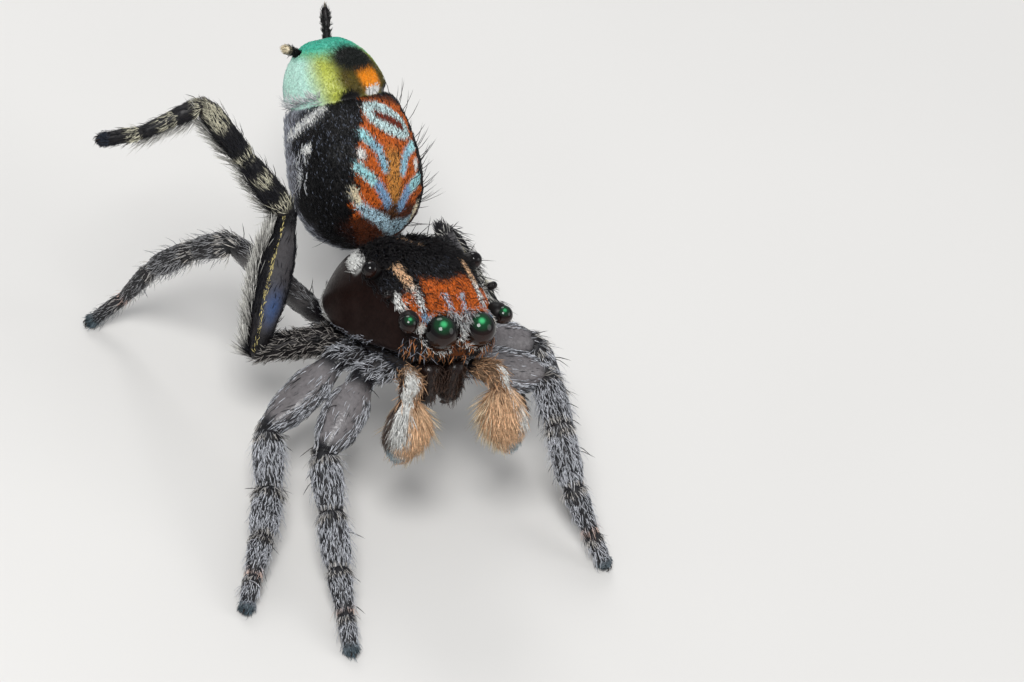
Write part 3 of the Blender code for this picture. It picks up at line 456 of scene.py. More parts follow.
class Coat:
    """Blades of hair gathered from one surface or more, made into one mesh, at a share of the full count."""

    def __init__(self, rng, density):
        self.rng = rng
        self.density = density
        self.parts = []

    def grow(self, surface, count, weight, length, width, lift, tint=None, tip=None, turn=0.0, spread=0.25,
             curl=0.25, shade=0.22, flat=0.45, rings=2, lie=None):
        """Blades rooted at random on a surface, turned off its rows by an angle, lifted off it and bent back.

        The lie is the along direction times the cosine of the turn plus the around direction times its
        sine, plus the normal times the lift. A given lie, a direction or a function of the roots, takes the
        place of the along direction. Length, width, lift, turn and spread may each be a field of the surface.
        """
        rng = self.rng
        count = int(count * self.density)
        row, column = surface.pick(rng, count, weight)

        def value(thing):
            """A field's values at the roots, or a plain value as it is."""
            field = isinstance(thing, np.ndarray) and thing.ndim >= 2
            return surface.at(thing, row, column) if field else thing

        normal = unit(surface.at(surface.normal, row, column))
        root = surface.at(surface.points, row, column)
        angle = (value(turn) + value(spread) * rng.normal(size=count))[:, None]
        a = unit(surface.at(surface.along, row, column))
        b = unit(np.cross(normal, a))
        side = np.sign((b * surface.at(surface.around, row, column)).sum(-1, keepdims=True))
        if lie is None:
            flow = a * np.cos(angle) + b * side * np.sin(angle)
        else:
            flow = lie(root) if callable(lie) else lie
            flow = flow - normal * (flow * normal).sum(-1, keepdims=True)
            flow = unit(flow)
            flow = flow * np.cos(angle) + np.cross(normal, flow) * np.sin(angle)
        rise = (value(lift) * (1 + 0.35 * rng.normal(size=count)))[:, None]
        flow = unit(flow + normal * np.maximum(rise, 0.02))
        out = unit(normal - flow * (normal * flow).sum(-1, keepdims=True))
        size = value(length) * (1 + LENGTH_VARIES * (2 * rng.random(count) - 1))
        colour = np.broadcast_to(value(surface.tint if tint is None else tint), (count, 3))
        light = 1 + shade * (2 * rng.random((count, 1)) - 1)
        colour = colour * light
        end = colour if tip is None else np.broadcast_to(value(tip), (count, 3)) * light
        uv = np.stack((column / surface.columns % 1.0, row / surface.rows), axis=-1)
        self.parts.append((root, flow, out, size, np.broadcast_to(value(width), (count,)).copy(),
                           np.full(count, curl), colour, end, uv, rings, flat))

    def build(self, name, material, slot):
        """The finished piece, with one closed blade for each root.

        Its middle runs root + lie times length times t, minus out times curl times length times t squared.
        Its section is a triangle of the width across and the flatness times the width high, and it tapers
        to a point.
        """
        points, faces, tints, uvs = [], [], [], []
        base = 0
        for root, lie, out, size, width, curl, colour, end, uv, rings, flat in self.parts:
            count = len(root)
            across = np.cross(lie, out)
            places = np.linspace(0.0, LAST_RING, rings)
            shape = np.interp(places, (0, 0.25, LAST_RING), (0.75, 1.0, 0.62))
            stack = []
            shades = []
            local = []
            for t, k in zip(places, shape):
                middle = root + lie * (size * t)[:, None] - out * (curl * size * t * t)[:, None]
                if t == 0:
                    middle = middle - out * ROOT_SINK
                w = (width * k)[:, None]
                for offset, u in ((out * w * flat, 0.5), (across * w * 0.5, 1.0), (-across * w * 0.5, 0.0)):
                    stack.append(middle + offset)
                    shades.append(colour * (1 - t) + end * t)
                    local.append((u, t))
            stack.append(root + lie * size[:, None] - out * (curl * size)[:, None])
            shades.append(end)
            local.append((0.5, 1.0))
            per = len(stack)
            p = np.stack(stack, axis=1)
            p[..., 2] = np.maximum(p[..., 2], 0.0)
            s = np.stack(shades, axis=1)
            tri = []
            for r in range(rings - 1):
                for k in range(3):
                    n = (k + 1) % 3
                    tri.append((3 * r + k, 3 * r + n, 3 * r + 3 + n))
                    tri.append((3 * r + k, 3 * r + 3 + n, 3 * r + 3 + k))
            last = 3 * (rings - 1)
            for k in range(3):
                tri.append((last + k, last + (k + 1) % 3, per - 1))
            tri.append((2, 1, 0))
            tri = np.array(tri, np.int64)
            f = (tri[None] + (np.arange(count) * per)[:, None, None] + base).reshape(-1, 3)
            spot = np.clip(uv, 0.002, 0.998)[:, None, :] + (np.array(local)[None] - 0.5) * 0.003
            uvs.append(spot[:, tri.ravel()].reshape(-1, 2))
            points.append(p.reshape(-1, 3))
            tints.append(s.reshape(-1, 3))
            faces.append(f)
            base += count * per
        thing = mesh_object(name, np.concatenate(points), np.zeros((0, 4), np.int32), np.concatenate(faces),
                            np.concatenate(tints), None, np.concatenate(uvs))
        finish_piece(thing, material, slot)


# Shader maths

class Sock:
    """A shader socket that can be used in Python sums: each operator adds one Math node."""

    def __init__(self, tree, socket):
        self.tree = tree
        self.socket = socket

    def math(self, operation, *others):
        """This value and the others through one Math node."""
        return self.node("ShaderNodeMath", {"operation": operation}, (self,) + others)

    def node(self, kind, settings=None, values=(), out=0):
        """A node of a kind, its settings first and then its inputs by order or by name."""
        made = self.tree.nodes.new(kind)
        for key, value in (settings or {}).items():
            if key == "stops":
                ramp = made.color_ramp
                for stop, (spot, colour) in enumerate(value):
                    element = ramp.elements[stop] if stop < len(ramp.elements) else ramp.elements.new(spot)
                    element.position = spot
                    element.color = (*colour, 1.0)
            else:
                setattr(made, key, value)
        items = values.items() if isinstance(values, dict) else enumerate(values)
        for key, value in items:
            if isinstance(value, Sock):
                self.tree.links.new(value.socket, made.inputs[key])
            else:
                made.inputs[key].default_value = value
        return Sock(self.tree, made.outputs[out])

    def __add__(self, other):
        return self.math("ADD", other)

    def __mul__(self, other):
        return self.math("MULTIPLY", other)

    def span(self, low, high, bottom=0.0, top=1.0):
        """This value between low and high mapped smoothly to the span from bottom to top."""
        return self.node("ShaderNodeMapRange", {"interpolation_type": "SMOOTHSTEP"},
                         (self, low, high, bottom, top))


class Paint:
    """A new material, its shader and the ways to feed it."""

    def __init__(self, name, **numbers):
        self.material = bpy.data.materials.new(name)
        self.material.use_nodes = True
        self.tree = self.material.node_tree
        self.shader = self.tree.nodes["Principled BSDF"]
        for key, value in numbers.items():
            self.shader.inputs[key.replace("_", " ").title().replace("Ior", "IOR")].default_value = value
        self.start = Sock(self.tree, None)

    def node(self, kind, settings=None, values=(), out=0):
        """A node of this material, as Sock.node adds it."""
        return self.start.node(kind, settings, values, out)

    def place(self):
        """Place on the piece in millimetres."""
        spot = self.node("ShaderNodeTexCoord", None, (), "Object")
        return self.node("ShaderNodeVectorMath", {"operation": "SCALE"}, {0: spot, "Scale": 1.0 / MM})

    def noise(self, spot, scale, detail=3.0, rough=0.55):
        """Soft noise of so many grains to the millimetre."""
        return self.node("ShaderNodeTexNoise", None, {"Vector": spot, "Scale": scale, "Detail": detail,
                                                      "Roughness": rough})

    def tint(self):
        """The colour painted on the mesh."""
        return self.node("ShaderNodeAttribute", {"attribute_name": "tint"}, (), "Color")

    def value(self, name):
        """A number painted on the mesh."""
        return self.node("ShaderNodeAttribute", {"attribute_name": name}, (), "Fac")

    def mix(self, factor, a, b):
        """Two colours through one Mix node."""
        a, b = (colour if isinstance(colour, Sock) else (*colour, 1.0) for colour in (a, b))
        return self.node("ShaderNodeMix", {"data_type": "RGBA", "clamp_factor": True},
                         {0: factor, 6: a, 7: b}, 2)

    def feed(self, name, sock):
        """Link a value to one of the shader's inputs."""
        self.tree.links.new(sock.socket, self.shader.inputs[name])

    def bump(self, height, depth):
        """Raise the surface by a height times a depth in millimetres."""
        raised = self.node("ShaderNodeBump", None, {"Distance": depth * MM, "Height": height}, "Normal")
        self.feed("Normal", raised)


def hair_material(name, roughness):
    """Blades take their own painted colour, darkened in fine grains."""
    paint = Paint(name, specular_ior_level=0.28)
    spot = paint.place()
    grain = paint.noise(spot, 38.0, 2.0)
    paint.feed("Base Color", paint.mix(grain.span(0.35, 0.7, 0.0, 0.35), paint.tint(), (0.0, 0.0, 0.0)))
    paint.feed("Roughness", grain.span(0.2, 0.8, roughness - 0.08, roughness + 0.12))
    return paint.material


def skin_material(name, grain_size, depth, gloss=0.3):
    """Skin under the coat: its painted colour broken by two sizes of grain, pitted and slightly glossy."""
    paint = Paint(name, specular_ior_level=gloss)
    spot = paint.place()
    fine = paint.noise(spot, grain_size, 4.0)
    broad = paint.noise(spot, 3.2, 3.0)
    tint = paint.mix(fine.span(0.35, 0.75, 0.0, 0.40), paint.tint(), (0.0, 0.0, 0.0))
    paint.feed("Base Color", paint.mix(broad.span(0.4, 0.75, 0.0, 0.12), tint, (0.06, 0.04, 0.035)))
    paint.feed("Roughness", paint.value("dull") + fine.span(0.3, 0.7, -0.06, 0.10))
    cells = paint.node("ShaderNodeTexVoronoi", None, {"Vector": spot, "Scale": grain_size * 1.3}, "Distance")
    paint.bump(fine * 0.7 + cells * 0.5, depth)
    return paint.material


# Head and chest

def carapace_surface(rows=200, columns=260):
    """The shield over head and chest.

    Down its length the place runs as minus a squared-off cosine, so rings crowd at both ends, and each ring
    reaches out as a squared-off sine. A ring is a box-like oval between the outline's width, top and low
    edge. Close round each eye the skin swells into a low collar.
    """
    turn_down = np.pi * (np.arange(1, rows + 1) / (rows + 1.0))
    turn = 2 * np.pi * np.arange(columns) / columns
    down, round_ = np.meshgrid(turn_down, turn, indexing="ij")
    y = (CARAPACE_FRONT + CARAPACE_REAR) / 2 - (CARAPACE_REAR - CARAPACE_FRONT) / 2 * boxy(np.cos(down), 0.80)
    reach = boxy(np.sin(down), 0.42)
    width = along(CARAPACE_WIDTHS, y)
    top = along(CARAPACE_TOPS, y)
    low = along(CARAPACE_LOWS, y)
    waist = low + 0.20 * (top - low)
    rise = boxy(np.sin(round_), 0.78)
    upper = rise > 0
    x = width * reach * np.where(upper, boxy(np.cos(round_), 0.78), boxy(np.cos(round_), 0.55))
    x = np.where(upper, x * (1 - 0.14 * rise), x)
    z = np.where(upper, waist + (top - waist) * rise * reach, waist + (waist - low) * rise * reach)
    points = np.stack((x, y, z), axis=-1)
    normal = Surface(points).normal
    lift = np.zeros(x.shape)
    for _, (ex, ey, ez), radius in EYES:
        for side in (-1, 1):
            distance = np.linalg.norm(points - np.array((side * ex, ey, ez)), axis=-1)
            lift += (0.20 * radius) * bell(distance, 1.12 * radius, 0.26 * radius)
    hollow = -0.030 * bell(y, 1.32, 0.16) * bell(x, 0.0, 0.16) * (z > 0)
    points = points + normal * (lift + hollow)[..., None]
    surface = Surface(place(points))
    surface.body = points
    return surface


def head_paint(surface):
    """The head's colours by place on the body: x to the left, y to the rear, z up."""
    x, y, z = (surface.body[..., k] for k in range(3))
    side = np.abs(x)
    upper = step(-0.02, 0.10, z - 0.02 + 0.10 * step(1.2, 1.9, y))
    tint = blend(SHELL, JET, upper)
    edge = 0.345 - 0.05 * y + 0.025 * np.sin(9 * y)
    patch = (1 - step(edge - 0.02, edge + 0.02, np.abs(x - 0.01))) \
        * (1 - step(0.55, 0.62, y + 0.05 * np.cos(9 * x)))
    front = step(-0.10, 0.03, z)
    tint = blend(tint, RUST, patch * front)
    tint = blend(tint, RUST, (1 - step(0.30, 0.40, y)) * bell(side, 0.47, 0.07) * front)
    pale_blue = blend(WHITE, BLUE, 0.65)
    for middle in (-0.09, 0.11):
        tint = blend(tint, pale_blue, stroke(x, y, ((middle, 0.37), (middle * 0.9, 0.02)), 0.022) * front)
    long_stripe = stroke(side, y, ((0.405, 0.94), (0.390, 0.60), (0.375, 0.10)), 0.030) * front
    colour = blend(blend(BLUE, WHITE, step(0.18, 0.34, y)), TAN, step(0.48, 0.66, y))
    tint = blend(tint, colour, long_stripe)
    tint = blend(tint, RUST, stroke(side, y, ((0.465, 0.50), (0.475, 0.16)), 0.050) * front)
    tint = blend(tint, WHITE, stroke(side, y, ((0.535, 0.60), (0.525, 0.40)), 0.030) * front)
    orange_spot = stroke(side, y, ((0.53, 0.30), (0.55, 0.20)), 0.055)
    tint = blend(tint, ORANGE * 0.55 + RUST * 0.45, orange_spot * front)
    white_patch = stroke(side, y, ((0.52, 1.60), (0.60, 1.42), (0.64, 1.24)), 0.088) * step(-0.07, 0.01, z)
    tint = blend(tint, WHITE, white_patch)
    rear_stripe = stroke(x, y, ((0.03, 1.18), (-0.01, 1.75)), 0.055) * step(-0.3, -0.1, z)
    tint = blend(tint, TAN, rear_stripe)
    margin = step(1.12, 1.30, y) * (1 - step(1.62, 1.80, y)) * bell(z, along(CARAPACE_LOWS, y) + 0.13, 0.045)
    tint = blend(tint, WHITE, margin * 0.95)
    face = (1 - step(0.05, 0.20, y)) * (1 - step(-0.16, -0.02, z))
    cheek = blend(ink(46, 32, 26), ink(170, 96, 48), bell(side, 0.06, 0.20) * 0.8)
    tint = blend(tint, cheek, face)
    brow = (1 - step(0.08, 0.17, y)) * step(-0.16, -0.02, z) * (1 - step(0.42, 0.50, side))
    tint = blend(tint, ink(60, 50, 48), brow * 0.85)
    surface.tint = tint
    near = np.full(x.shape, 9.0)
    for _, (ex, ey, ez), radius in EYES:
        for sign in (-1, 1):
            distance = np.linalg.norm(surface.body - np.array((sign * ex, ey, ez)), axis=-1)
            near = np.minimum(near, distance / radius)
    surface.near_eye = near
    surface.hairy = np.clip(upper + face + white_patch + margin, 0, 1)
    return surface


def make_head(sizes):
    """The shield's skin with the coat of its top, face, edges and eye rims."""
    surface = head_paint(carapace_surface())
    x, y, z = (surface.body[..., k] for k in range(3))
    hairy = surface.hairy
    painted = surface.tint.copy()
    surface.tint = blend(SHELL, painted * 0.35, hairy)
    shell = skin_material("shell_skin", gloss=0.08, grain_size=30.0, depth=0.0015)
    skin_piece("carapace_skin", surface, 0.40 + 0.18 * hairy, shell, "shell", "carapace")
    surface.tint = painted
    rng = np.random.default_rng(SEED)
    clear = step(1.05, 1.16, surface.near_eye)
    forward = turned((0.0, -1.0, 0.0))
    rearward = turned((0.0, 1.0, -0.1))
    colourful = step(0.05, 0.16, painted.max(axis=-1))
    top = hairy * clear * step(-0.20, 0.0, z + 0.12 * y)

    coat = Coat(rng, sizes.coat_density)
    coat.grow(surface, 7600, top * colourful * (y < 1.0), 0.100, 0.018, 0.20, lie=forward,
              spread=0.28, curl=0.18, shade=0.34)
    coat.grow(surface, 1200, top * colourful * (y < 0.75), 0.100, 0.012, 0.26, tint=UMBER, lie=forward,
              spread=0.35, curl=0.18, shade=0.4)
    # Painted sheen: sparse steel-blue hairs among the black ones stand in for the black hair's bluish sheen
    coat.grow(surface, 500, top * (1 - colourful) * (y < 1.7), 0.11, 0.012, 0.24, tint=STEEL * 0.7,
              lie=forward, spread=0.35, curl=0.25)
    raised = step(0.75, 1.25, y)
    coat.grow(surface, 5300, top * (1 - colourful) * clear, 0.12 + 0.05 * raised, 0.015,
              0.22 + 0.22 * raised, lie=forward, tint=JET, tip=BLACK * 1.5, spread=0.30, curl=0.25)
    coat.grow(surface, 2600, colourful * clear * (y > 1.0) * hairy, 0.13, 0.020, 0.16,
              lie=rearward, spread=0.22, curl=0.2, shade=0.15)
    coat.build("coat_head", hair_material("head_hair", 0.42), "shell")

    face = Coat(rng, sizes.coat_density)
    low = (1 - step(0.06, 0.24, y)) * (1 - step(-0.16, -0.04, z)) * clear
    down = turned((0.0, -0.30, -1.0))
    face.grow(surface, 210, low, 0.12, 0.011, 0.30, tint=ink(150, 84, 46), tip=ink(212, 150, 100),
              lie=down, spread=0.45, curl=0.15, shade=0.4, rings=3)
    face.grow(surface, 55, low * step(0.25, 0.42, np.abs(x)), 0.13, 0.009, 0.34, tint=STEEL, tip=SILVER,
              lie=down, spread=0.5, curl=0.15, shade=0.3, rings=3)
    face.grow(surface, 900, low, 0.10, 0.013, 0.25, tint=BLACK,
              lie=down, spread=0.45, curl=0.15, shade=0.4)
    rim = bell(surface.near_eye, 1.20, 0.10) * (y < 0.6)
    rim_tint = blend(WHITE, ORANGE * 0.7 + TAN * 0.3, step(0.0, 0.1, z) * bell(np.abs(x), 0.56, 0.12))
    rim_tint = blend(rim_tint, SILVER, (np.abs(x) < 0.42) * step(0.05, 0.15, z) * 0.7)
    for name, middle, radius in EYES[:2]:
        for sign in (-1, 1):
            spot = np.array((sign * middle[0], middle[1], middle[2]))
            centre = place(spot)
            close = np.linalg.norm(surface.body - spot, axis=-1) < 1.5 * radius
            mine = rim * close * (0.35 + 0.65 * step(-0.05, 0.05, z))
            face.grow(surface, 220 if name == "front" else 210, mine, 0.085, 0.009, 0.45,
                      tint=rim_tint, lie=lambda root, c=centre: (root - c) * 0.4 + forward * 0.8, spread=0.35,
                      curl=-0.05, shade=0.3)
    tufts = (1 - step(0.10, 0.18, y)) * bell(z, 0.14, 0.07) * (np.abs(x) < 0.50) * clear
    over_brow = turned((0.0, -1.0, -0.25))
    face.grow(surface, 240, tufts, 0.15, 0.009, 0.34, tint=SILVER * 0.7, tip=WHITE * 0.8, lie=over_brow,
              spread=0.4, curl=0.35, shade=0.4, rings=3)
    face.grow(surface, 700, tufts, 0.11, 0.012, 0.28, tint=BLACK, lie=over_brow, spread=0.4, curl=0.25,
              shade=0.4)
    bristle = clear * step(0.05, 0.15, z) * (y < 1.7)
    face.grow(surface, 80, bristle, 0.28, 0.009, 1.1, tint=JET, spread=0.6, curl=0.10, rings=3, flat=0.8,
              lie=forward)
    margin = bell(z, along(CARAPACE_LOWS, y) + 0.12, 0.05) * step(0.2, 0.6, y)
    face.grow(surface, 330, margin, 0.13, 0.009, 0.22, tint=SILVER * 0.7, tip=SILVER, spread=0.35,
              lie=turned((0.0, 0.9, -0.45)), shade=0.35)
    face.build("coat_face", hair_material("face_hair", 0.45), "shell")


def ball_surface(middle, radius, line, rows=40, columns=56):
    """A ball: rings of radius times the sine, set along its line by radius times the cosine."""
    line = unit(turned(line))
    side = unit(np.cross(line, (0.0, 0.0, 1.0)))
    up = np.cross(side, line)
    down = (np.pi * np.arange(1, rows + 1) / (rows + 1.0))[:, None, None]
    turn = (2 * np.pi * np.arange(columns) / columns)[None, :, None]
    ring = side * np.cos(turn) + up * np.sin(turn)
    return Surface(middle + radius * (line * np.cos(down) + np.sin(down) * ring))


def make_cup(name, centre, radius, line, material):
    """The swelling that an eye sits in: a tube along the eye's line, wide at the lens and narrow in the head.

    Its middle runs evenly along the line from 1.6 radii behind the eye's centre to 0.15 radii behind it.
    """
    t = np.linspace(0.0, 1.0, 40)
    reach = -1.6 + 1.45 * t
    wide = along(((0.0, 0.80), (0.35, 1.00), (0.75, 1.06), (1.0, 0.99)), t) * radius
    path = centre + line * (reach * radius)[:, None]
    side = unit(np.cross(line, (0.0, 0.0, 1.0)))
    surface = tube_surface(path, line, side, wide, wide, 56)
    skin_piece(name, surface, 0.40, material, "shell", tint=ink(13, 9, 9))


def make_eyes(sizes):
    """Eight glossy eyes, dark with some brown below, the four forward ones with a painted green reflection in
    their upper half.

    The painted reflection grows as an even S of the cosine between a point's direction and the reflection's
    own: faintly up to 0.965 and strongly above that.
    """
    paint = Paint("eye_lens", roughness=0.06, specular_ior_level=0.30)
    haze = paint.noise(paint.place(), 9.0, 2.0)
    paint.feed("Base Color", paint.mix(haze.span(0.3, 0.8, 0.0, 0.25), paint.tint(), (0.002, 0.002, 0.002)))
    paint.feed("Roughness", haze.span(0.3, 0.7, 0.04, 0.09))
    # The colour of the painted reflection on the forward eyes
    glow = np.array(sizes.eye_reflection_green[:3])
    cup_material = skin_material("eye_cup", gloss=0.2, grain_size=40.0, depth=0.0015)
    for side, letter in SIDES:
        for name, (x, y, z), radius in EYES:
            centre = place((side * x, y, z))
            across, ahead, up, bright = EYE_LOOKS[name]
            line = (side * across, ahead, up)
            surface = ball_surface(centre, radius, line)
            toward = unit(surface.points - centre)
            closeness = toward @ unit(np.array(EYE_PAINTED_REFLECTION))
            low = unit(turned((0.0, -0.8, -0.5)))
            tint = blend(ink(10, 7, 8), ink(62, 34, 24), bell((toward * low).sum(-1), 0.9, 0.35) * 0.35)
            # Painted reflection: a faint green halo and a bright green spot high on each forward lens
            tint = blend(tint, glow * 0.09, step(0.74, 0.965, closeness) * bright)
            tint = blend(tint, glow, step(0.966, 1.003, closeness) * bright)
            surface.tint = tint
            eye = "eye_" + name + "_" + letter
            skin_piece(eye + "_lens", surface, None, paint.material, "eye", eye)
            if name != "front":
                make_cup(eye + "_cup", centre, radius, unit(turned(line)), cup_material)


# Abdomen

def abdomen_frame():
    """Start, length and directions of the abdomen: along it, to its left, to its back."""
    base = ABDOMEN_BASE
    length = np.linalg.norm(ABDOMEN_TIP - base)
    line = (ABDOMEN_TIP - base) / length
    face = unit(ABDOMEN_FACES - line * (ABDOMEN_FACES @ line))
    side = np.cross(line, face)
    return base - ORIGIN, length, line, side if side[0] > 0 else -side, face


def abdomen_points(run, turn):
    """The abdomen: middle plus side times width times cosine plus back times depth times sine.

    Width and depth follow the outline along its run, and both close at the ends as the run
    times one minus the run, to a small power.
    """
    base, length, line, side, face = abdomen_frame()
    reach = (4 * run * (1 - run)) ** ABDOMEN_ROUND * (1 - 0.062 * bell(run, 0.692, 0.022))
    width = along(ABDOMEN_HALF_WIDTHS, run) * reach
    depth = along(ABDOMEN_HALF_DEPTHS, run) * reach
    middle = base + line * (length * run)[..., None] + face * along(ABDOMEN_LEAN, run)[..., None]
    return middle + side * (width * np.cos(turn))[..., None] + face * (depth * np.sin(turn))[..., None]


def abdomen_surface(rows=220, columns=240):
    """The abdomen's grid, with rings crowded at both ends as a cosine does."""
    run = (1 - np.cos(np.pi * np.arange(1, rows + 1) / (rows + 1.0))) / 2
    turn = 2 * np.pi * np.arange(columns) / columns
    run, turn = np.meshgrid(run, turn, indexing="ij")
    surface = Surface(abdomen_points(run, turn))
    surface.run = run
    surface.turn = np.degrees(turn)
    return surface


def abdomen_paint(surface):
    """The abdomen's colours by its run from front to tip and by degrees off the middle of its back."""
    run = surface.run
    middle = along(BACK_MIDDLE, run)
    off = (surface.turn - middle + 180.0) % 360.0 - 180.0
    far = np.abs(off)
    level = run - 0.0016 * off * step(75.0, 45.0, far)
    x = off / 90.0
    y = level * 1.6
    side = np.abs(x)
    wobble = 2.0 * np.sin(run * 75.0) + 1.3 * np.sin(run * 140.0 + 1.0)
    edge = along(PLATE_EDGE, run) + wobble
    plate = (1 - step(edge - 1.2, edge + 1.2, far)) * (1 - step(0.655, 0.675, level))
    tint = blend(JET, RUST, plate)
    tint = blend(tint, OCHRE, plate * (1 - step(5.0, 11.0, far)) * (1 - step(0.36, 0.44, level)))
    low_back = (1 - step(0.125, 0.165, run + 0.0009 * (far - 20.0))) * (1 - step(46.0, 70.0, far))
    tint = blend(tint, UMBER, low_back * 0.9)

    def bar(points, half, colour):
        """A line of colour on both sides of the back, through (degrees off its middle, run) points."""
        nonlocal tint
        line = [(a / 90.0, b * 1.6) for a, b in points]
        tint = blend(tint, colour, stroke(side, y, line, half))

    bar([(46.0, 0.43), (38.0, 0.405)], 0.045, JET)
    bar([(48.0, 0.345), (38.0, 0.33)], 0.045, JET)
    bar([(50.0, 0.215), (36.0, 0.20)], 0.045, JET)
    bar([(31.0, 0.450), (22.0, 0.418), (15.0, 0.385), (9.5, 0.305)], 0.040, CYAN * 0.45 + BLUE * 0.55)
    bar([(31.0, 0.450), (26.0, 0.432)], 0.042, CYAN)
    bar([(32.0, 0.362), (30.0, 0.352)], 0.040, WHITE)
    bar([(35.0, 0.296), (27.0, 0.268), (20.0, 0.238)], 0.044, CYAN)
    bar([(15.5, 0.218), (12.0, 0.185), (8.0, 0.148)], 0.045, BLUE)
    bar([(39.0, 0.172), (36.0, 0.130), (30.0, 0.098), (18.0, 0.074), (4.0, 0.058)], 0.048,
        CYAN * 0.30 + BLUE * 0.45 + WHITE * 0.25)
    bar([(39.0, 0.175), (37.0, 0.150)], 0.050, CREAM)
    ring_y = (level - 0.0011 * off) - 0.540
    oval = np.hypot(off / 28.0, ring_y / 0.078)
    bright = 1 - step(0.93, 1.05, oval)
    tint = blend(tint, blend(CYAN, WHITE, 0.5), bright)
    inner = stroke(off / 90.0, ring_y * 1.6, ((-0.17, -0.004), (0.15, 0.004)), 0.034)
    tint = blend(tint, DEEP_RUST, inner)
    # Painted shade: a dark brown line on the back where the round end overhangs the red plate
    fold_shade = bell(level, 0.655, 0.022) * (1 - step(26.0, 34.0, far))
    tint = blend(tint, ink(40, 18, 10), fold_shade * 0.9)

    # The round end: turquoise rim, two black spots, orange at its foot, lime sides fading to mint
    bulb = step(0.675, 0.70, run)
    pole = step(0.90, 0.985, run)
    far = far * (1 - pole) + 36.0 * pole
    glow = blend(LIME, PALE_MINT, step(50.0, 84.0, far))
    glow = blend(glow, TURQUOISE, step(0.86, 0.965, run + 0.0006 * (40.0 - far)))
    glow = blend(glow, ink(120, 150, 150), step(110.0, 160.0, far))
    right_side = step(34.0, 48.0, -off) * (1 - step(75.0, 95.0, -off))
    glow = blend(glow, TURQUOISE, right_side * step(0.76, 0.86, run))
    # Painted shade: darker olive round the orange, between the black spot and the fold
    glow = blend(glow, PAINTED_SHADE_OLIVE, step(0.15, 0.75, bell(run, 0.775, 0.11) * bell(far, 20.0, 24.0)))
    glow = blend(glow, ORANGE, step(0.2, 0.8, bell(run, 0.775, 0.085) * bell(far, 0.0, 16.0) * 1.2))
    black_cap = bell(run, 0.880, 0.078) * bell(off, 3.0, 40.0)
    glow = blend(glow, ink(8, 14, 10), step(0.25, 0.85, black_cap * 1.25))
    glow = blend(glow, JET, step(0.3, 0.8, bell(run, 0.700, 0.035) * bell(far, 34.0, 16.0) * 1.2))
    glow = blend(glow, WHITE, step(0.4, 0.7, bell(run, 0.712, 0.026) * bell(far, 4.0, 11.0)))
    tint = blend(tint, glow, bulb)

    # The flanks: black scales, a silver band below the fold, a white spot, a grey underside
    far = np.abs(off)
    silver = bell(run, 0.652 - 0.0022 * np.clip(far - 68.0, 0.0, 40.0), 0.020) * step(60.0, 70.0, far) * (
        1 - step(112.0, 124.0, far))
    tint = blend(tint, blend(SILVER, WHITE, 0.45), silver * (1 - bulb))
    spot = 1 - step(0.7, 1.2, np.hypot((far - 86.0) / 5.0, (run - 0.48) / 0.026))
    tint = blend(tint, WHITE, spot)
    belly = step(92.0, 118.0, far + 8.0 * np.sin(run * 21.0)) * (1 - bulb)
    tint = blend(tint, ink(104, 104, 112), belly)
    surface.tint = tint
    surface.off = off
    surface.plate = np.clip(plate + bright, 0, 1) * (1 - bulb)
    surface.bulb = bulb
    surface.belly = belly
    surface.silver = np.clip(silver + spot, 0, 1) * (1 - bulb)
    return surface


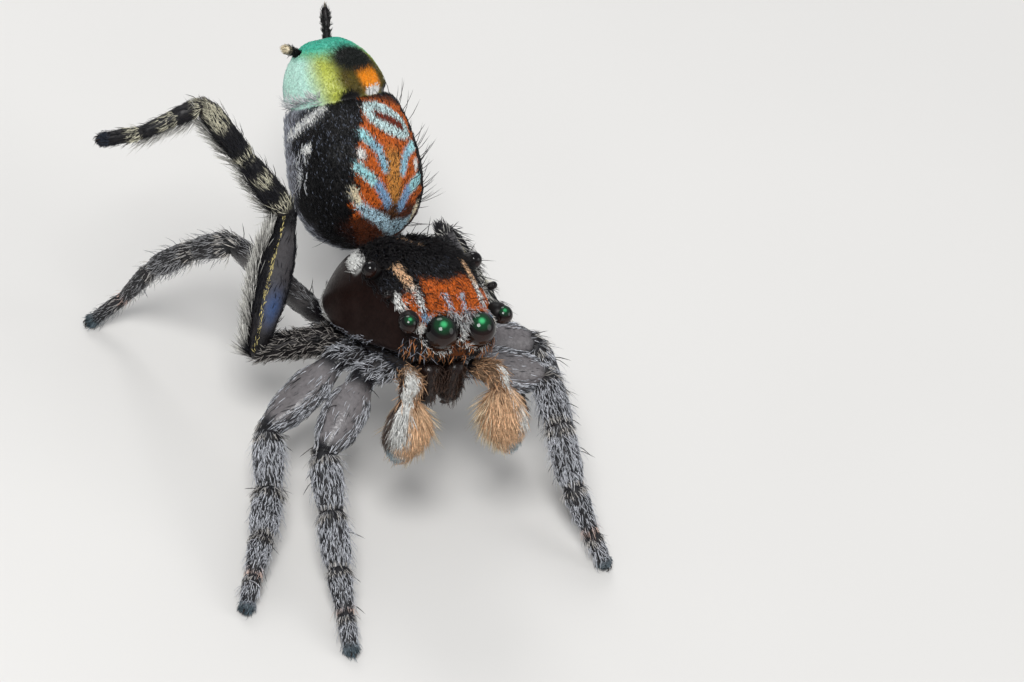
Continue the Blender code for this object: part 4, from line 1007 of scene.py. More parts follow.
def make_abdomen(sizes):
    """The abdomen's skin, the scales of its back, flanks and round end, its fringes and bristles."""
    surface = abdomen_paint(abdomen_surface())
    painted = surface.tint.copy()
    run, off, bulb, plate = surface.run, surface.off, surface.bulb, surface.plate
    far = np.abs(off)
    surface.tint = blend(painted * 0.55, painted, bulb)
    base, length, line, _, face = abdomen_frame()
    lean = along(ABDOMEN_LEAN, np.array((0.0, 1.0)))
    skin = skin_material("abdomen_skin", grain_size=34.0, depth=0.005)
    skin_piece("abdomen_skin", surface, 0.52 - 0.14 * bulb, skin, "abdomen_skin", "abdomen",
               start=base + face * lean[0], end=base + line * length + face * lean[1])
    surface.tint = painted
    rng = np.random.default_rng(SEED + 1)
    back = Coat(rng, sizes.coat_density)
    back.grow(surface, 14500, plate, 0.072, 0.018, 0.16, spread=0.30, curl=0.12, shade=0.30)
    back.grow(surface, 1500, plate, 0.070, 0.013, 0.26, tint=UMBER * 0.6, spread=0.5, curl=0.1)
    back.build("coat_abdomen_back", hair_material("back_scales", 0.38), "abdomen_skin")

    flank = Coat(rng, sizes.coat_density)
    dark = (1 - plate) * (1 - bulb) * (1 - surface.belly) * (1 - 0.7 * surface.silver)
    flank.grow(surface, 8800, dark, 0.095, 0.016, 0.20, tint=painted, spread=0.35, curl=0.20, shade=0.5)
    # Painted glints: steel-blue scales among the black ones stand in for light caught by the glossy scales
    flank.grow(surface, 1500, dark * (0.25 + step(0.25, 0.62, run)), 0.060, 0.013, 0.22, tint=STEEL,
               spread=0.5, curl=0.20, shade=0.6)
    flank.grow(surface, 1100, surface.silver, 0.085, 0.018, 0.16, tint=WHITE * 0.9, spread=0.3, curl=0.2)
    fringe = bell(run, 0.44, 0.07) * bell(far, 92.0, 6.0)
    flank.grow(surface, 150, fringe, 0.17, 0.011, 0.22, tint=SILVER, tip=WHITE, spread=0.3,
               turn=np.pi * 0.85, curl=0.35, rings=3)
    flank.grow(surface, 4200, surface.belly, 0.12, 0.014, 0.24, tint=painted, tip=SILVER * 0.9,
               spread=0.4, curl=0.2, shade=0.4)
    flank.build("coat_abdomen_flanks", hair_material("flank_scales", 0.34), "abdomen_skin")

    tail = Coat(rng, sizes.coat_density)
    tail.grow(surface, 8500, bulb, 0.050, 0.015, 0.09, spread=0.35, curl=0.05, shade=0.14)
    fold = bell(run, 0.722, 0.016) * step(62.0, 80.0, far) * (1 - step(125.0, 140.0, far))
    tail.grow(surface, 260, fold, 0.12, 0.011, 0.60, tint=SILVER, tip=WHITE, turn=0.2, spread=0.5,
              curl=0.2, rings=3)
    bristle = plate * step(0.03, 0.1, run) + 0.25 * dark
    tail.grow(surface, 60, bristle, 0.26, 0.008, 1.0, tint=JET, tip=BLACK, spread=0.5, curl=0.10, rings=3,
              flat=0.8)
    edge_bristle = bell(off, -38.0, 8.0) * (1 - bulb)
    tail.grow(surface, 22, edge_bristle, 0.32, 0.008, 1.0, tint=JET, spread=0.4, curl=0.05, rings=3, flat=0.8)
    tail.build("coat_abdomen_end", hair_material("end_scales", 0.33), "abdomen_skin")


def tube_surface(path, direction, across, widths, depths, columns):
    """A tube: each ring is its middle plus across times width times cosine plus rise times depth times sine.

    The direction and the line across are given for each ring or once for all. The rise is square to both.
    """
    direction, across = (np.broadcast_to(way, path.shape) for way in (direction, across))
    across = unit(across - direction * (across * direction).sum(-1, keepdims=True))
    rise = np.cross(direction, across)
    turn = (2 * np.pi * np.arange(columns) / columns)[None, :, None]
    points = path[:, None] + across[:, None] * widths[:, None, None] * np.cos(turn) \
        + rise[:, None] * depths[:, None, None] * np.sin(turn)
    return Surface(points)


def chain_path(chain, rows, soft):
    """A rounded path along a chain of joints: at each place, the mean of the chain over a soft span."""
    chain = np.asarray(chain, float)
    steps = np.concatenate(([0.0], np.cumsum(np.linalg.norm(np.diff(chain, axis=0), axis=1))))
    run = np.linspace(0.0, steps[-1], rows)
    spans = np.linspace(-2.0, 2.0, 17)
    weights = np.exp(-spans ** 2)
    weights /= weights.sum()
    path = np.zeros((rows, 3))
    first = unit(chain[1] - chain[0])
    last = unit(chain[-1] - chain[-2])
    for shift, weight in zip(spans * soft, weights):
        spot = run + shift
        inside = np.stack([np.interp(spot, steps, chain[:, k]) for k in range(3)], axis=-1)
        before = np.minimum(spot, 0.0)[:, None] * first
        after = np.maximum(spot - steps[-1], 0.0)[:, None] * last
        path += weight * (inside + before + after)
    direction = unit(np.gradient(path, axis=0))
    return run, steps, path, direction


def make_spinnerets(sizes):
    """Two dark spinnerets with pale tips and short hairs.

    Each is a tube along a straight line, its start plus its direction times its size times t. Its radius
    follows a table of t and is pinched at a joint by one minus a quarter of a bell.
    """
    base, length, line, side, face = abdomen_frame()
    lean = float(along(ABDOMEN_LEAN, 1.0))
    tall_line = unit(line + side * 0.20)
    start = base + line * (length - 0.09) + face * (lean + 0.02) + side * 0.05
    turn = math.radians(188.0)
    low_line = unit(side * math.cos(turn) + face * math.sin(turn) + line * 0.55)
    low = abdomen_points(np.array([0.955]), np.array([turn]))[0] - low_line * 0.03
    rng = np.random.default_rng(SEED + 2)
    material = skin_material("spinneret_skin", grain_size=40.0, depth=0.004)
    hair = hair_material("spinneret_hair", 0.4)
    for name, node, origin, way, size in (("spinneret_tall", "spinnerets", start, tall_line, 0.46),
                                          ("spinneret_short", "spinneret_low", low, low_line, 0.23)):
        t = np.linspace(0.0, 1.0, 60)
        radius = along(SPINNERET_RADII, t) * (1 - 0.25 * bell(t, 0.45, 0.03))
        path = origin + way * (t * size)[:, None]
        surface = tube_surface(path, way, side, radius, radius, 32)
        pale = step(0.55, 0.85, t) if name == "spinneret_short" else step(0.96, 1.0, t) * 0.5
        surface.tint = blend(JET, CREAM, np.repeat(pale[:, None], 32, axis=1))
        skin_piece(name, surface, 0.42, material, "dark_skin", node)
        coat = Coat(rng, sizes.coat_density)
        coat.grow(surface, 420, np.ones((60, 32)), 0.055, 0.010, 0.35, spread=0.3, curl=0.15)
        coat.build("coat_" + name, hair, "dark_skin")


# Legs

def leg_surface(key, rows=300, columns=36):
    """One leg as a single tube through all its joints.

    Its middle is the rounded path along the joints. Half width and half depth follow the outline's stations
    along it, are pinched by a bell at each joint, and close at both ends as the square root of the way there.
    """
    row = LEGS[key]
    pair = int(key[1])
    sign = 1 if key[0] == "l" else -1
    joints = [np.array(row[0], float)]
    for size, heading, slope in row[1:]:
        h, s = math.radians(heading), math.radians(slope)
        heading = np.array((math.sin(h) * math.cos(s), -math.cos(h) * math.cos(s), math.sin(s)))
        joints.append(joints[-1] + size * heading)
    if key != "r3":
        joints[5][2] = LEG_DEPTHS[pair][8] * 0.80
    inner = COXA_INNER[pair]
    chain = [place((sign * inner[0], inner[1], inner[2]))] + [joint - ORIGIN for joint in joints]
    directions = [unit(b - a) for a, b in zip(chain, chain[1:])]
    across = np.cross(directions[1], directions[3])
    if np.linalg.norm(across) < 0.15:
        across = np.cross(directions[1], (0.0, 0.0, 1.0))
    across = unit(across)
    run, steps, path, direction = chain_path(chain, rows, soft=0.055)
    widths, depths = [], []
    for segment, t, size, wide, deep in LEG_STATIONS:
        spot = steps[segment] + (steps[segment + 1] - steps[segment]) * t
        widths.append((spot, LEG_WIDTHS[pair][size] * wide))
        depths.append((spot, LEG_DEPTHS[pair][size] * deep))
    width = along(widths, run)
    depth = along(depths, run)
    for joint in steps[2:6]:
        pinch = 1 - 0.13 * bell(run, joint, 0.020) + 0.03 * bell(np.abs(run - joint), 0.05, 0.018)
        width *= pinch
        depth *= pinch
    close = np.sqrt(np.clip((steps[-1] - run) / 0.05, 0.0, 1.0))
    open_ = np.sqrt(np.clip(run / 0.06, 0.0, 1.0))
    width *= np.clip(close * open_, 0.05, 1.0)
    depth *= np.clip(close * open_, 0.05, 1.0)
    surface = tube_surface(path, direction, across, width, depth, columns)
    surface.points[..., 2] = np.where(surface.points[..., 2] < FOOT_FLAT, 0.0, surface.points[..., 2])
    segment = np.clip(np.searchsorted(steps, run, side="right") - 1, 0, 5)
    part = (run - steps[segment]) / (steps[segment + 1] - steps[segment])
    surface.segment = np.repeat(segment[:, None], columns, axis=1)
    surface.part = np.repeat(part[:, None], columns, axis=1)
    surface.run = np.repeat(run[:, None], columns, axis=1)
    surface.round = np.broadcast_to(2 * np.pi * np.arange(columns) / columns, (rows, columns))
    surface.steps = steps
    surface.tip = chain[-1]
    surface.tip_line = directions[-1]
    return surface


def leg_paint(surface, key):
    """A leg's colours by segment and place: dark rings and pale margins at joints, or a third leg's bands."""
    segment, part, run = surface.segment, surface.part, surface.run
    third = key[1] == "3"
    near = np.min([np.abs(run - joint) for joint in surface.steps[2:6]], axis=0)
    ring = bell(near, 0.0, 0.016)
    margin = bell(near, 0.050, 0.024)
    if third:
        hair = ink(26, 26, 32)
        skin = ink(14, 13, 16)
        pale = ink(222, 217, 192)
        shown = surface.normal @ np.array((-0.25, -0.60, 0.76))
        for where, spot, half, reach in THIRD_LEG_MARKS[3 if key == "l3" else 0:]:
            streak = 0.02 * np.sin(5 * surface.round) + 0.02 * np.sin(11 * surface.round + 9 * part)
            mask = (segment == where) * (1 - step(half * 0.6, half * 1.2, np.abs(part - spot + streak)))
            mask = mask * step(reach, reach + 0.3, shown)
            hair = blend(hair, pale, mask)
        hair = blend(hair, ink(172, 166, 160), (segment == 0) * 0.9)
        ring = ring * (segment < 2)
        femur = ink(74, 72, 74)
    else:
        hair = ink(206, 208, 214) if key[1] in "12" else ink(150, 150, 152)
        skin = ink(22, 22, 26)
        hair = blend(hair, ink(214, 208, 200), margin)
        hair = blend(hair, ink(92, 118, 130), (segment == 5) * step(0.55, 0.95, part) * 0.9)
        hair = blend(hair, ink(214, 176, 160), (segment == 4) * bell(part, 0.92, 0.10) * 0.7)
        femur = ink(116, 112, 113) if key[1] in "12" else ink(84, 82, 82)
    hair = blend(hair, JET, ring * 0.92)
    broad = (segment == 1) * step(0.10, 0.25, part) * (1 - step(0.85, 0.97, part))
    height = np.sin(surface.round)
    if third:
        broad = broad * step(-0.42, -0.30, height)
    skin = blend(skin, femur, broad)
    if third:
        skin = blend(skin, ink(62, 94, 146), broad * bell(part, 0.34, 0.12) * bell(height, 0.20, 0.45) * 0.75)
    skin = blend(skin, JET, ring)
    skin = blend(skin, ink(30, 26, 27), segment == 0)
    surface.hair = hair
    surface.tint = skin
    surface.ring = ring
    return surface


def make_leg(key, material, hair, sizes):
    """One leg: its skin, its lying hairs, its standing hairs and black bristles, and a foot pad."""
    surface = leg_paint(leg_surface(key), key)
    segment, part = surface.segment, surface.part
    height = np.sin(surface.round)
    rng = np.random.default_rng(SEED + 10 + list(LEGS).index(key))
    femur = (segment == 1) * 1.0
    nodes = ["leg_" + key + "_" + part_name for part_name in ("coxa", "femur", "tibia", "tarsus")]
    skin_piece("leg_" + key + "_skin", surface, 0.50 - 0.24 * femur, material, "leg_hair", *nodes)
    third = key[1] == "3"
    shown = key in ("r1", "r2", "r3", "l1")
    if third:
        flat_face = femur * step(-0.45, -0.30, height) * (1 - step(0.75, 0.92, height))
    else:
        flat_face = femur * (1 - step(0.55, 0.85, np.abs(height)))
    weight = (1 - 0.96 * flat_face) * (1 - 0.6 * surface.ring) * (0.6 + 0.4 * (segment > 0))
    width = np.where(segment >= 4, 0.010, 0.013)
    length = sizes.leg_hair * np.where(segment >= 4, 0.75, 1.0) * (1 + 0.2 * femur)
    coat = Coat(rng, sizes.coat_density)
    count = 7000 if shown else 4200
    light_share = 0.50 if third else 0.52
    root = (segment == 0) * 1.0
    dark = blend(surface.hair * 0.70, JET, root) if third else surface.hair * 0.10 + JET * 0.9
    loose = 0.17 + 0.33 * root
    lift = 0.12 + 0.22 * root
    coat.grow(surface, count * light_share, weight, length, width, lift, tint=surface.hair,
              spread=loose, curl=0.14, shade=0.35)
    coat.grow(surface, count * (1 - light_share), weight, length * 0.9, width, lift,
              tint=dark, spread=loose, curl=0.14, shade=0.4)
    coat.grow(surface, 420, flat_face, 0.085, 0.006, 0.05, tint=surface.tint * 1.5, spread=0.15, curl=0.10,
              shade=0.3)
    stand = (segment >= 2) * (0.4 + 0.6 * (height < 0.2))
    coat.grow(surface, 420, stand, length * 1.25, 0.009, 0.40 if key == "r3" else 0.75, tint=surface.hair,
              spread=0.3, curl=0.25, rings=3)
    bristle = ((segment >= 1) & (segment <= 4)) * step(-0.3, 0.6, np.abs(height))
    coat.grow(surface, 13, bristle, 0.15 if key == "r3" else 0.20, 0.011, 1.0, tint=JET, spread=0.25,
              curl=0.05, rings=3, flat=0.8)
    if third:
        fringe = (femur + ((segment >= 2) & (segment <= 4)) * 0.55) * step(0.80, 0.97, -height)
        if key == "l3":
            fringe = fringe * (1 - femur * step(0.55, 0.75, part))
        coat.grow(surface, 1100, fringe, 0.24, 0.013, 0.45, tint=ink(84, 82, 82), tip=ink(230, 228, 220),
                  spread=0.18, curl=0.05, rings=3, shade=0.5)
        line = femur * bell(height, -0.38, 0.05)
        coat.grow(surface, 650, line, 0.080, 0.013, 0.16, tint=ink(220, 204, 136), spread=0.08, shade=0.3)
    pad = (segment == 5) * step(0.72, 0.95, part)
    coat.grow(surface, 420, pad, 0.075, 0.011, 0.45, tint=ink(50, 56, 68) if third else surface.hair * 0.55,
              spread=0.5, curl=0.25)
    coat.build("coat_leg_" + key, hair, "leg_hair")


def make_claws():
    """Two small curved claws at the end of each foot, all in one piece.

    Each is a tube. Its middle runs forward with the sine of 1.5 t, first up with the sine of 2.6 t and then
    down with t squared, and its radius tapers as one minus t to the power of 1.5.
    """
    points, quads, triangles = [], [], []
    base = 0
    for key in LEGS:
        leg = leg_surface(key, 60, 12)
        line = leg.tip_line
        side = unit(np.cross(line, (0.0, 0.0, 1.0)))
        up = np.cross(side, line)
        for turn in (-1, 1):
            t = np.linspace(0.0, 1.0, 9)[:, None]
            start = leg.tip + side * (0.020 * turn) + up * 0.020 - line * 0.015
            path = start + line * (0.085 * np.sin(t * 1.5)) + up * (0.035 * np.sin(t * 2.6) - 0.045 * t * t) \
                + side * (0.012 * turn * t)
            path[:, 2] = np.maximum(path[:, 2], CLAW_LOW)
            radius = 0.0105 * (1 - 0.93 * t[:, 0] ** 1.5)
            claw = closed_grid(tube_surface(path, unit(np.gradient(path, axis=0)), side, radius, radius, 8),
                               path[0], path[-1])
            points.append(claw[0])
            quads.append(claw[1] + base)
            triangles.append(claw[2] + base)
            base += len(claw[0])
    thing = mesh_object("claws", np.concatenate(points), np.concatenate(quads), np.concatenate(triangles),
                        ink(34, 22, 16), np.full(base, 0.25))
    finish_piece(thing, skin_material("claw_horn", grain_size=60.0, depth=0.001), "dark_skin")


# Palps, jaws and underside

def palp_surface(letter, rows=150, columns=48):
    """A palp as one tube along the rounded path of its joints, slim to the wrist and then a full oval.

    Its half width and half depth follow the stations smoothly.
    """
    chain = place(np.array(PALPS[letter]))
    run, steps, path, direction = chain_path(chain, rows, soft=0.05)
    spots = [steps[row[0]] + (steps[row[0] + 1] - steps[row[0]]) * row[1] for row in PALP_STATIONS]
    width, depth = (along([(spot, row[k]) for spot, row in zip(spots, PALP_STATIONS)], run) for k in (2, 3))
    surface = tube_surface(path, direction, turned((1.0, 0.0, 0.0)), width, depth, columns)
    surface.run = np.repeat((run / steps[-1])[:, None], columns, axis=1)
    surface.wrist = steps[2] / steps[-1]
    return surface


def make_palps(sizes):
    """Both palps: white along the outer side, a long tan brush with bluish-white tips."""
    material = skin_material("palp_skin", grain_size=30.0, depth=0.004)
    hair = hair_material("palp_hair", 0.5)
    for side, letter in SIDES:
        surface = palp_surface(letter)
        run = surface.run
        brush = step(surface.wrist - 0.02, surface.wrist + 0.08, run)
        outer_way = (-0.71, -0.42, 0.56) if letter == "r" else (0.65, -0.58, 0.48)
        outer = surface.normal @ unit(outer_way)
        top = surface.normal @ unit(turned((side * 0.40, -0.20, 0.90)))
        behind = surface.normal @ unit((side * 0.97, 0.22, -0.02))
        stripe = step(0.83, 0.92, outer) * (1 - step(0.70, 0.84, run)) if letter == "r" \
            else step(0.86, 0.95, outer) * (1 - step(0.66, 0.80, run))
        stripe = np.maximum(stripe, (1 - brush) * step(0.70 if letter == "r" else 0.88, 0.97, top))
        surface.tint = blend(ink(32, 27, 26), ink(110, 70, 40), brush)
        palp = "palp_" + letter
        skin_piece(palp + "_skin", surface, 0.5, material, "palp_hair", palp + "_arm", palp + "_brush")
        shaded = 0.9 if letter == "r" else 0.0
        colour = blend(TAN, ink(44, 46, 54), step(0.62, 0.84, behind) * shaded)
        colour = blend(colour, ink(186, 208, 218), step(0.76, 0.90, run) * step(0.2, 0.6, outer) * 0.9)
        colour = blend(colour, WHITE, stripe)
        colour = blend(colour, ink(60, 46, 40), (1 - brush) * (1 - stripe) * 0.7)
        rng = np.random.default_rng(SEED + 30 + side)
        coat = Coat(rng, sizes.coat_density)
        arm = (1 - brush) * (0.35 + stripe)
        coat.grow(surface, 1300, arm, 0.13, 0.015, 0.22, tint=colour, spread=0.25, curl=0.15, shade=0.35)
        coat.grow(surface, 150, (1 - brush) * (1 - stripe), 0.16, 0.012, 0.5, tint=ink(150, 96, 58), tip=TAN,
                  spread=0.4, rings=3)
        end = 1 - step(0.90, 0.99, run)
        reach = 0.24 * (1 - 0.45 * step(0.60, 0.92, run))
        coat.grow(surface, 2600, brush * end, reach, 0.016, 0.26, tint=colour * 0.62, tip=colour,
                  spread=0.20, curl=0.16, rings=3, shade=0.35)
        coat.grow(surface, 1500, stripe * end, 0.15, 0.018, 0.14, tint=WHITE, spread=0.12, curl=0.2,
                  rings=3, shade=0.12)
        inner = brush * end * (1 - step(-0.45, 0.0, outer))
        coat.grow(surface, 420, inner, reach * 1.25, 0.012, 0.55, tint=ink(160, 104, 62), tip=CREAM,
                  spread=0.22, curl=0.05, rings=3, shade=0.3)
        coat.build("coat_palp_" + letter, hair, "palp_hair")


def make_mouth(sizes):
    """The two jaws, dark and glossy, with a fang each, and stiff tan hairs on their fronts.

    Each is a tube straight from top to tip whose end, the fang, bends in and back by the square of the way
    along it. Its radius follows a table of t.
    """
    material = skin_material("jaw_shell", grain_size=30.0, depth=0.003)
    hair = hair_material("jaw_hair", 0.45)
    rng = np.random.default_rng(SEED + 40)
    for side, letter in SIDES:
        top = place((side * JAW_TOP[0], JAW_TOP[1], JAW_TOP[2]))
        tip = place((side * JAW_TIP[0], JAW_TIP[1], JAW_TIP[2]))
        t = np.concatenate((np.linspace(0.0, 0.94, 70), np.linspace(0.95, 1.0, 20)))
        path = top + (tip - top) * t[:, None]
        bend = np.clip((t - 0.86) / 0.14, 0, 1)
        path = path + turned((-side * 0.05, 0.05, 0.0)) * (bend ** 2)[:, None]
        radius = along(JAW_RADII, t) * JAW_RADIUS
        direction = unit(np.gradient(path, axis=0))
        surface = tube_surface(path, direction, turned((1.0, 0.0, 0.0)), radius, radius * 1.05, 40)
        jaw = "jaw_" + letter
        skin_piece(jaw + "_shell", surface, 0.26, material, "shell", jaw, tint=ink(30, 18, 14))
        coat = Coat(rng, sizes.coat_density)
        front = step(0.1, 0.7, surface.normal @ turned((0.0, -1.0, 0.0))) * 0.6
        span = np.repeat(t[:, None], 40, axis=1)
        weight = (0.15 + front) * (1 - step(0.72, 0.85, span))
        coat.grow(surface, 110, weight, 0.12, 0.009, 0.40, tint=ink(40, 30, 26), tip=ink(96, 74, 62),
                  spread=0.35, curl=0.1, rings=3)
        coat.build("coat_jaw_" + letter, hair, "shell")


def make_sternum(material, hair, rng, density):
    """The plate between the leg roots: a ball stretched to its three half sizes."""
    down = (np.pi * np.arange(1, 71) / 71.0)[:, None]
    turn = (2 * np.pi * np.arange(64) / 64)[None]
    points = np.stack((STERNUM_HALF[0] * np.sin(down) * np.cos(turn),
                       -STERNUM_HALF[1] * np.cos(down) * np.ones_like(turn),
                       STERNUM_HALF[2] * np.sin(down) * np.sin(turn)), axis=-1) + np.array(STERNUM_MIDDLE)
    surface = Surface(place(points))
    skin_piece("sternum_skin", surface, 0.4, material, "dark_skin", "sternum", tint=ink(34, 28, 28))
    coat = Coat(rng, density)
    coat.grow(surface, 1500, step(0.3, -0.1, surface.normal[..., 2]), 0.12, 0.013, 0.3, tint=GREY, tip=SILVER,
              spread=0.4)
    coat.build("coat_sternum", hair, "dark_skin")


def make_side_wall(material, hair, rng, density):
    """The soft wall that joins the leg roots to the shield: a tube from front to rear.

    Its half height is half of the way from the wall's foot up to the shield's low edge, and both half sizes
    close at the ends as four times t times one minus t, to a small power.
    """
    t = np.linspace(0.0, 1.0, 70)
    y = WALL_SPAN[0] + (WALL_SPAN[1] - WALL_SPAN[0]) * t
    top = along(CARAPACE_LOWS, y) + WALL_OVERLAP
    close = (4 * t * (1 - t) + 0.0004) ** 0.28
    path = place(np.stack((np.zeros_like(y), y, (top + WALL_FOOT) / 2), axis=-1))
    surface = tube_surface(path, turned((0.0, 1.0, 0.0)), turned((1.0, 0.0, 0.0)), WALL_HALF_WIDTH * close,
                           (top - WALL_FOOT) / 2 * close, 64)
    skin_piece("side_wall_skin", surface, 0.5, material, "dark_skin", tint=ink(30, 25, 25))
    coat = Coat(rng, density)
    coat.grow(surface, 1600, np.ones(surface.points.shape[:2]), 0.09, 0.011, 0.35, tint=BLACK, tip=STEEL,
              spread=0.5)
    coat.build("coat_side_wall", hair, "dark_skin")


def make_waist(material):
    """The stalk in front of the abdomen: a tube along a cubic from inside the shield to inside the abdomen.

    The cubic is the sum of its four points, each times its cubic share.
    """
    base, _, line, side, _ = abdomen_frame()
    a = place(WAIST_FRONT) - turned((0.0, 0.14, 0.0))
    b = base + line * 0.06
    first = unit(turned((0.0, 1.0, 0.0)))
    t = np.linspace(0.0, 1.0, 40)
    reach = np.linalg.norm(b - a)
    corners = a, a + first * reach / 3, b - line * reach / 3, b
    shares = (1 - t) ** 3, 3 * t * (1 - t) ** 2, 3 * t ** 2 * (1 - t), t ** 3
    path = sum(share[:, None] * corner for share, corner in zip(shares, corners))
    radius = WAIST_RADIUS * (1 + 0.05 * np.sin(np.pi * t) + 0.03 * np.sin(t * 40))
    surface = tube_surface(path, unit(np.gradient(path, axis=0)), side, radius, radius, 36)
    skin_piece("waist_skin", surface, 0.4, material, "dark_skin", "waist", tint=ink(36, 28, 26))


def make_underside(sizes):
    """The sternum, the side wall and the waist, in one skin and one kind of hair."""
    material = skin_material("under_skin", grain_size=28.0, depth=0.004)
    hair = hair_material("under_hair", 0.5)
    rng = np.random.default_rng(SEED + 50)
    make_sternum(material, hair, rng, sizes.coat_density)
    make_side_wall(material, hair, rng, sizes.coat_density)
    make_waist(material)


# Stage

def stand(name, data, right, up, back, spot):
    """Put a lamp or the camera into the scene at a place in metres, by the three directions that it has."""
    thing = bpy.data.objects.new(name, data)
    bpy.context.scene.collection.objects.link(thing)
    matrix = np.eye(4)
    matrix[:3] = np.stack((right, up, back, spot), axis=1)
    thing.matrix_world = Matrix(matrix.tolist())
    return thing


def make_floor(colour):
    """A flat pale floor, a little lighter and darker in broad clouds."""
    half = FLOOR_HALF / MM
    corners = np.array(((-half, -half, 0), (half, -half, 0), (half, half, 0), (-half, half, 0)))
    floor = mesh_object("floor", corners - np.array((0.0, 0.0, FLOOR_DROP)), np.array(((0, 1, 2, 3),)),
                        np.zeros((0, 3), np.int32))
    paint = Paint("pale_floor", roughness=0.75)
    cloud = paint.noise(paint.place(), 0.12, 2.0)
    paint.feed("Base Color", paint.mix(cloud.span(0.3, 0.7), tuple(colour), tuple(colour * 0.97)))
    floor.data.materials.append(paint.material)


def make_stage(sizes):
    """A pale floor, soft studio light and the camera."""
    make_floor(np.array(sizes.floor_colour[:3]))
    scene = bpy.context.scene
    world = bpy.data.worlds.new("studio")
    world.use_nodes = True
    sky = world.node_tree.nodes["Background"].inputs
    sky["Color"].default_value = SKY
    sky["Strength"].default_value = SKY_STRENGTH
    scene.world = world
    scene.view_settings.view_transform = "Standard"
    for name, spot, size, watts in LAMPS:
        lamp = bpy.data.lights.new(name, "AREA")
        lamp.shape = "DISK"
        lamp.size = size
        lamp.energy = watts
        aim = unit(np.array(spot) - np.array(LAMP_TARGET))
        side = unit(np.cross((0.0, 0.0, 1.0), aim))
        stand(name, lamp, side, np.cross(aim, side), aim, spot)

    camera = bpy.data.cameras.new("camera")
    camera.sensor_width = LENS_WIDTH
    camera.lens = LENS
    camera.shift_x, camera.shift_y = CAMERA_SHIFT
    camera.clip_start = 0.005
    camera.clip_end = 10.0
    spot = (place((0.0, 0.0, 0.0)) + np.array(CAMERA_BACK) * CAMERA_DISTANCE) * MM
    scene.camera = stand("camera", camera, CAMERA_RIGHT, CAMERA_UP, CAMERA_BACK, spot)


# Add-on

class SpiderSizes(bpy.types.PropertyGroup):
    """What a user would change."""

    coat_density: bpy.props.FloatProperty(
        name="Coat density", description="Blades of hair, as a share of the full coat",
        default=1.0, min=0.05, max=1.2)
    leg_hair: bpy.props.FloatProperty(
        name="Leg hair", description="Length of the lying leg hairs in millimetres",
        default=0.135, min=0.02, max=0.4)
    # Colour of the painted reflection in the upper half of the forward eyes
    eye_reflection_green: bpy.props.FloatVectorProperty(
        name="Eye glow", description="Colour in the upper half of the front eyes",
        subtype="COLOR", size=3, default=(0.06, 0.50, 0.18), min=0.0, max=1.0)
    floor_colour: bpy.props.FloatVectorProperty(
        name="Floor", description="Colour of the floor",
        subtype="COLOR", size=3, default=(0.70, 0.685, 0.66), min=0.0, max=1.0)


class SpiderOperator:
    """What the building operators share."""

    bl_options = {"REGISTER", "UNDO"}


class SPIDER_OT_stage(SpiderOperator, bpy.types.Operator):
    """Add the floor, the lights and the camera"""
    bl_idname = "spider.stage"
    bl_label = "Stage"

    def execute(self, context):
        make_stage(context.scene.spider_sizes)
        return {"FINISHED"}


class SPIDER_OT_head(SpiderOperator, bpy.types.Operator):
    """Add the shield of head and chest with its coat"""
    bl_idname = "spider.head"
    bl_label = "Head"

    def execute(self, context):
        make_head(context.scene.spider_sizes)
        return {"FINISHED"}


class SPIDER_OT_eyes(SpiderOperator, bpy.types.Operator):
    """Add the eight eyes"""
    bl_idname = "spider.eyes"
    bl_label = "Eyes"

    def execute(self, context):
        make_eyes(context.scene.spider_sizes)
        return {"FINISHED"}


class SPIDER_OT_mouth(SpiderOperator, bpy.types.Operator):
    """Add the jaws"""
    bl_idname = "spider.mouth"
    bl_label = "Jaws"

    def execute(self, context):
        make_mouth(context.scene.spider_sizes)
        return {"FINISHED"}


class SPIDER_OT_palps(SpiderOperator, bpy.types.Operator):
    """Add the two palps with their brushes"""
    bl_idname = "spider.palps"
    bl_label = "Palps"

    def execute(self, context):
        make_palps(context.scene.spider_sizes)
        return {"FINISHED"}


class SPIDER_OT_underside(SpiderOperator, bpy.types.Operator):
    """Add the sternum, the side wall and the waist"""
    bl_idname = "spider.underside"
    bl_label = "Underside"

    def execute(self, context):
        make_underside(context.scene.spider_sizes)
        return {"FINISHED"}


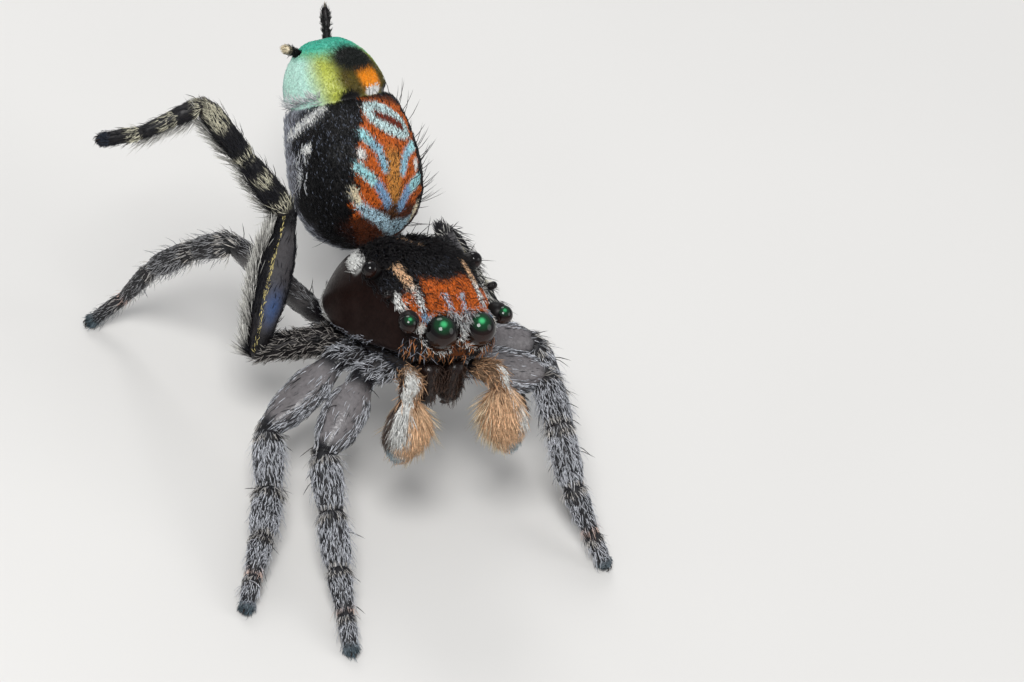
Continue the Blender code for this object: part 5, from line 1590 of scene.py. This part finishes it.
class SPIDER_OT_abdomen(SpiderOperator, bpy.types.Operator):
    """Add the abdomen with its scales and fringes"""
    bl_idname = "spider.abdomen"
    bl_label = "Abdomen"

    def execute(self, context):
        make_abdomen(context.scene.spider_sizes)
        make_spinnerets(context.scene.spider_sizes)
        return {"FINISHED"}


class SPIDER_OT_legs(SpiderOperator, bpy.types.Operator):
    """Add the eight legs with their hairs and claws"""
    bl_idname = "spider.legs"
    bl_label = "Legs"

    def execute(self, context):
        sizes = context.scene.spider_sizes
        material = skin_material("leg_skin", gloss=0.35, grain_size=30.0, depth=0.003)
        hair = hair_material("leg_hair", 0.42)
        for key in LEGS:
            make_leg(key, material, hair, sizes)
        make_claws()
        return {"FINISHED"}


class SPIDER_PT_panel(bpy.types.Panel):
    """The spider's sizes, colours and pieces"""
    bl_idname = "SPIDER_PT_panel"
    bl_label = "Peacock spider"
    bl_space_type = "VIEW_3D"
    bl_region_type = "UI"
    bl_category = "Spider"

    def draw(self, context):
        sizes = context.scene.spider_sizes
        for name in ("coat_density", "leg_hair", "eye_reflection_green", "floor_colour"):
            self.layout.prop(sizes, name)
        for operator in OPERATORS:
            self.layout.operator(operator.bl_idname)


OPERATORS = (
    SPIDER_OT_stage, SPIDER_OT_head, SPIDER_OT_eyes, SPIDER_OT_mouth, SPIDER_OT_palps, SPIDER_OT_underside,
    SPIDER_OT_abdomen, SPIDER_OT_legs,
)
CLASSES = (SpiderSizes,) + OPERATORS + (SPIDER_PT_panel,)


def register():
    """Add the classes and the scene's settings."""
    for cls in CLASSES:
        bpy.utils.register_class(cls)
    bpy.types.Scene.spider_sizes = bpy.props.PointerProperty(type=SpiderSizes)


def unregister():
    """Take the settings and the classes out again."""
    del bpy.types.Scene.spider_sizes
    for cls in reversed(CLASSES):
        bpy.utils.unregister_class(cls)


def main():
    register()
    bpy.ops.spider.stage()
    bpy.ops.spider.head()
    bpy.ops.spider.eyes()
    bpy.ops.spider.mouth()
    bpy.ops.spider.palps()
    bpy.ops.spider.underside()
    bpy.ops.spider.abdomen()
    bpy.ops.spider.legs()
    bpy.context.view_layer.update()


if __name__ == "__main__":
    main()
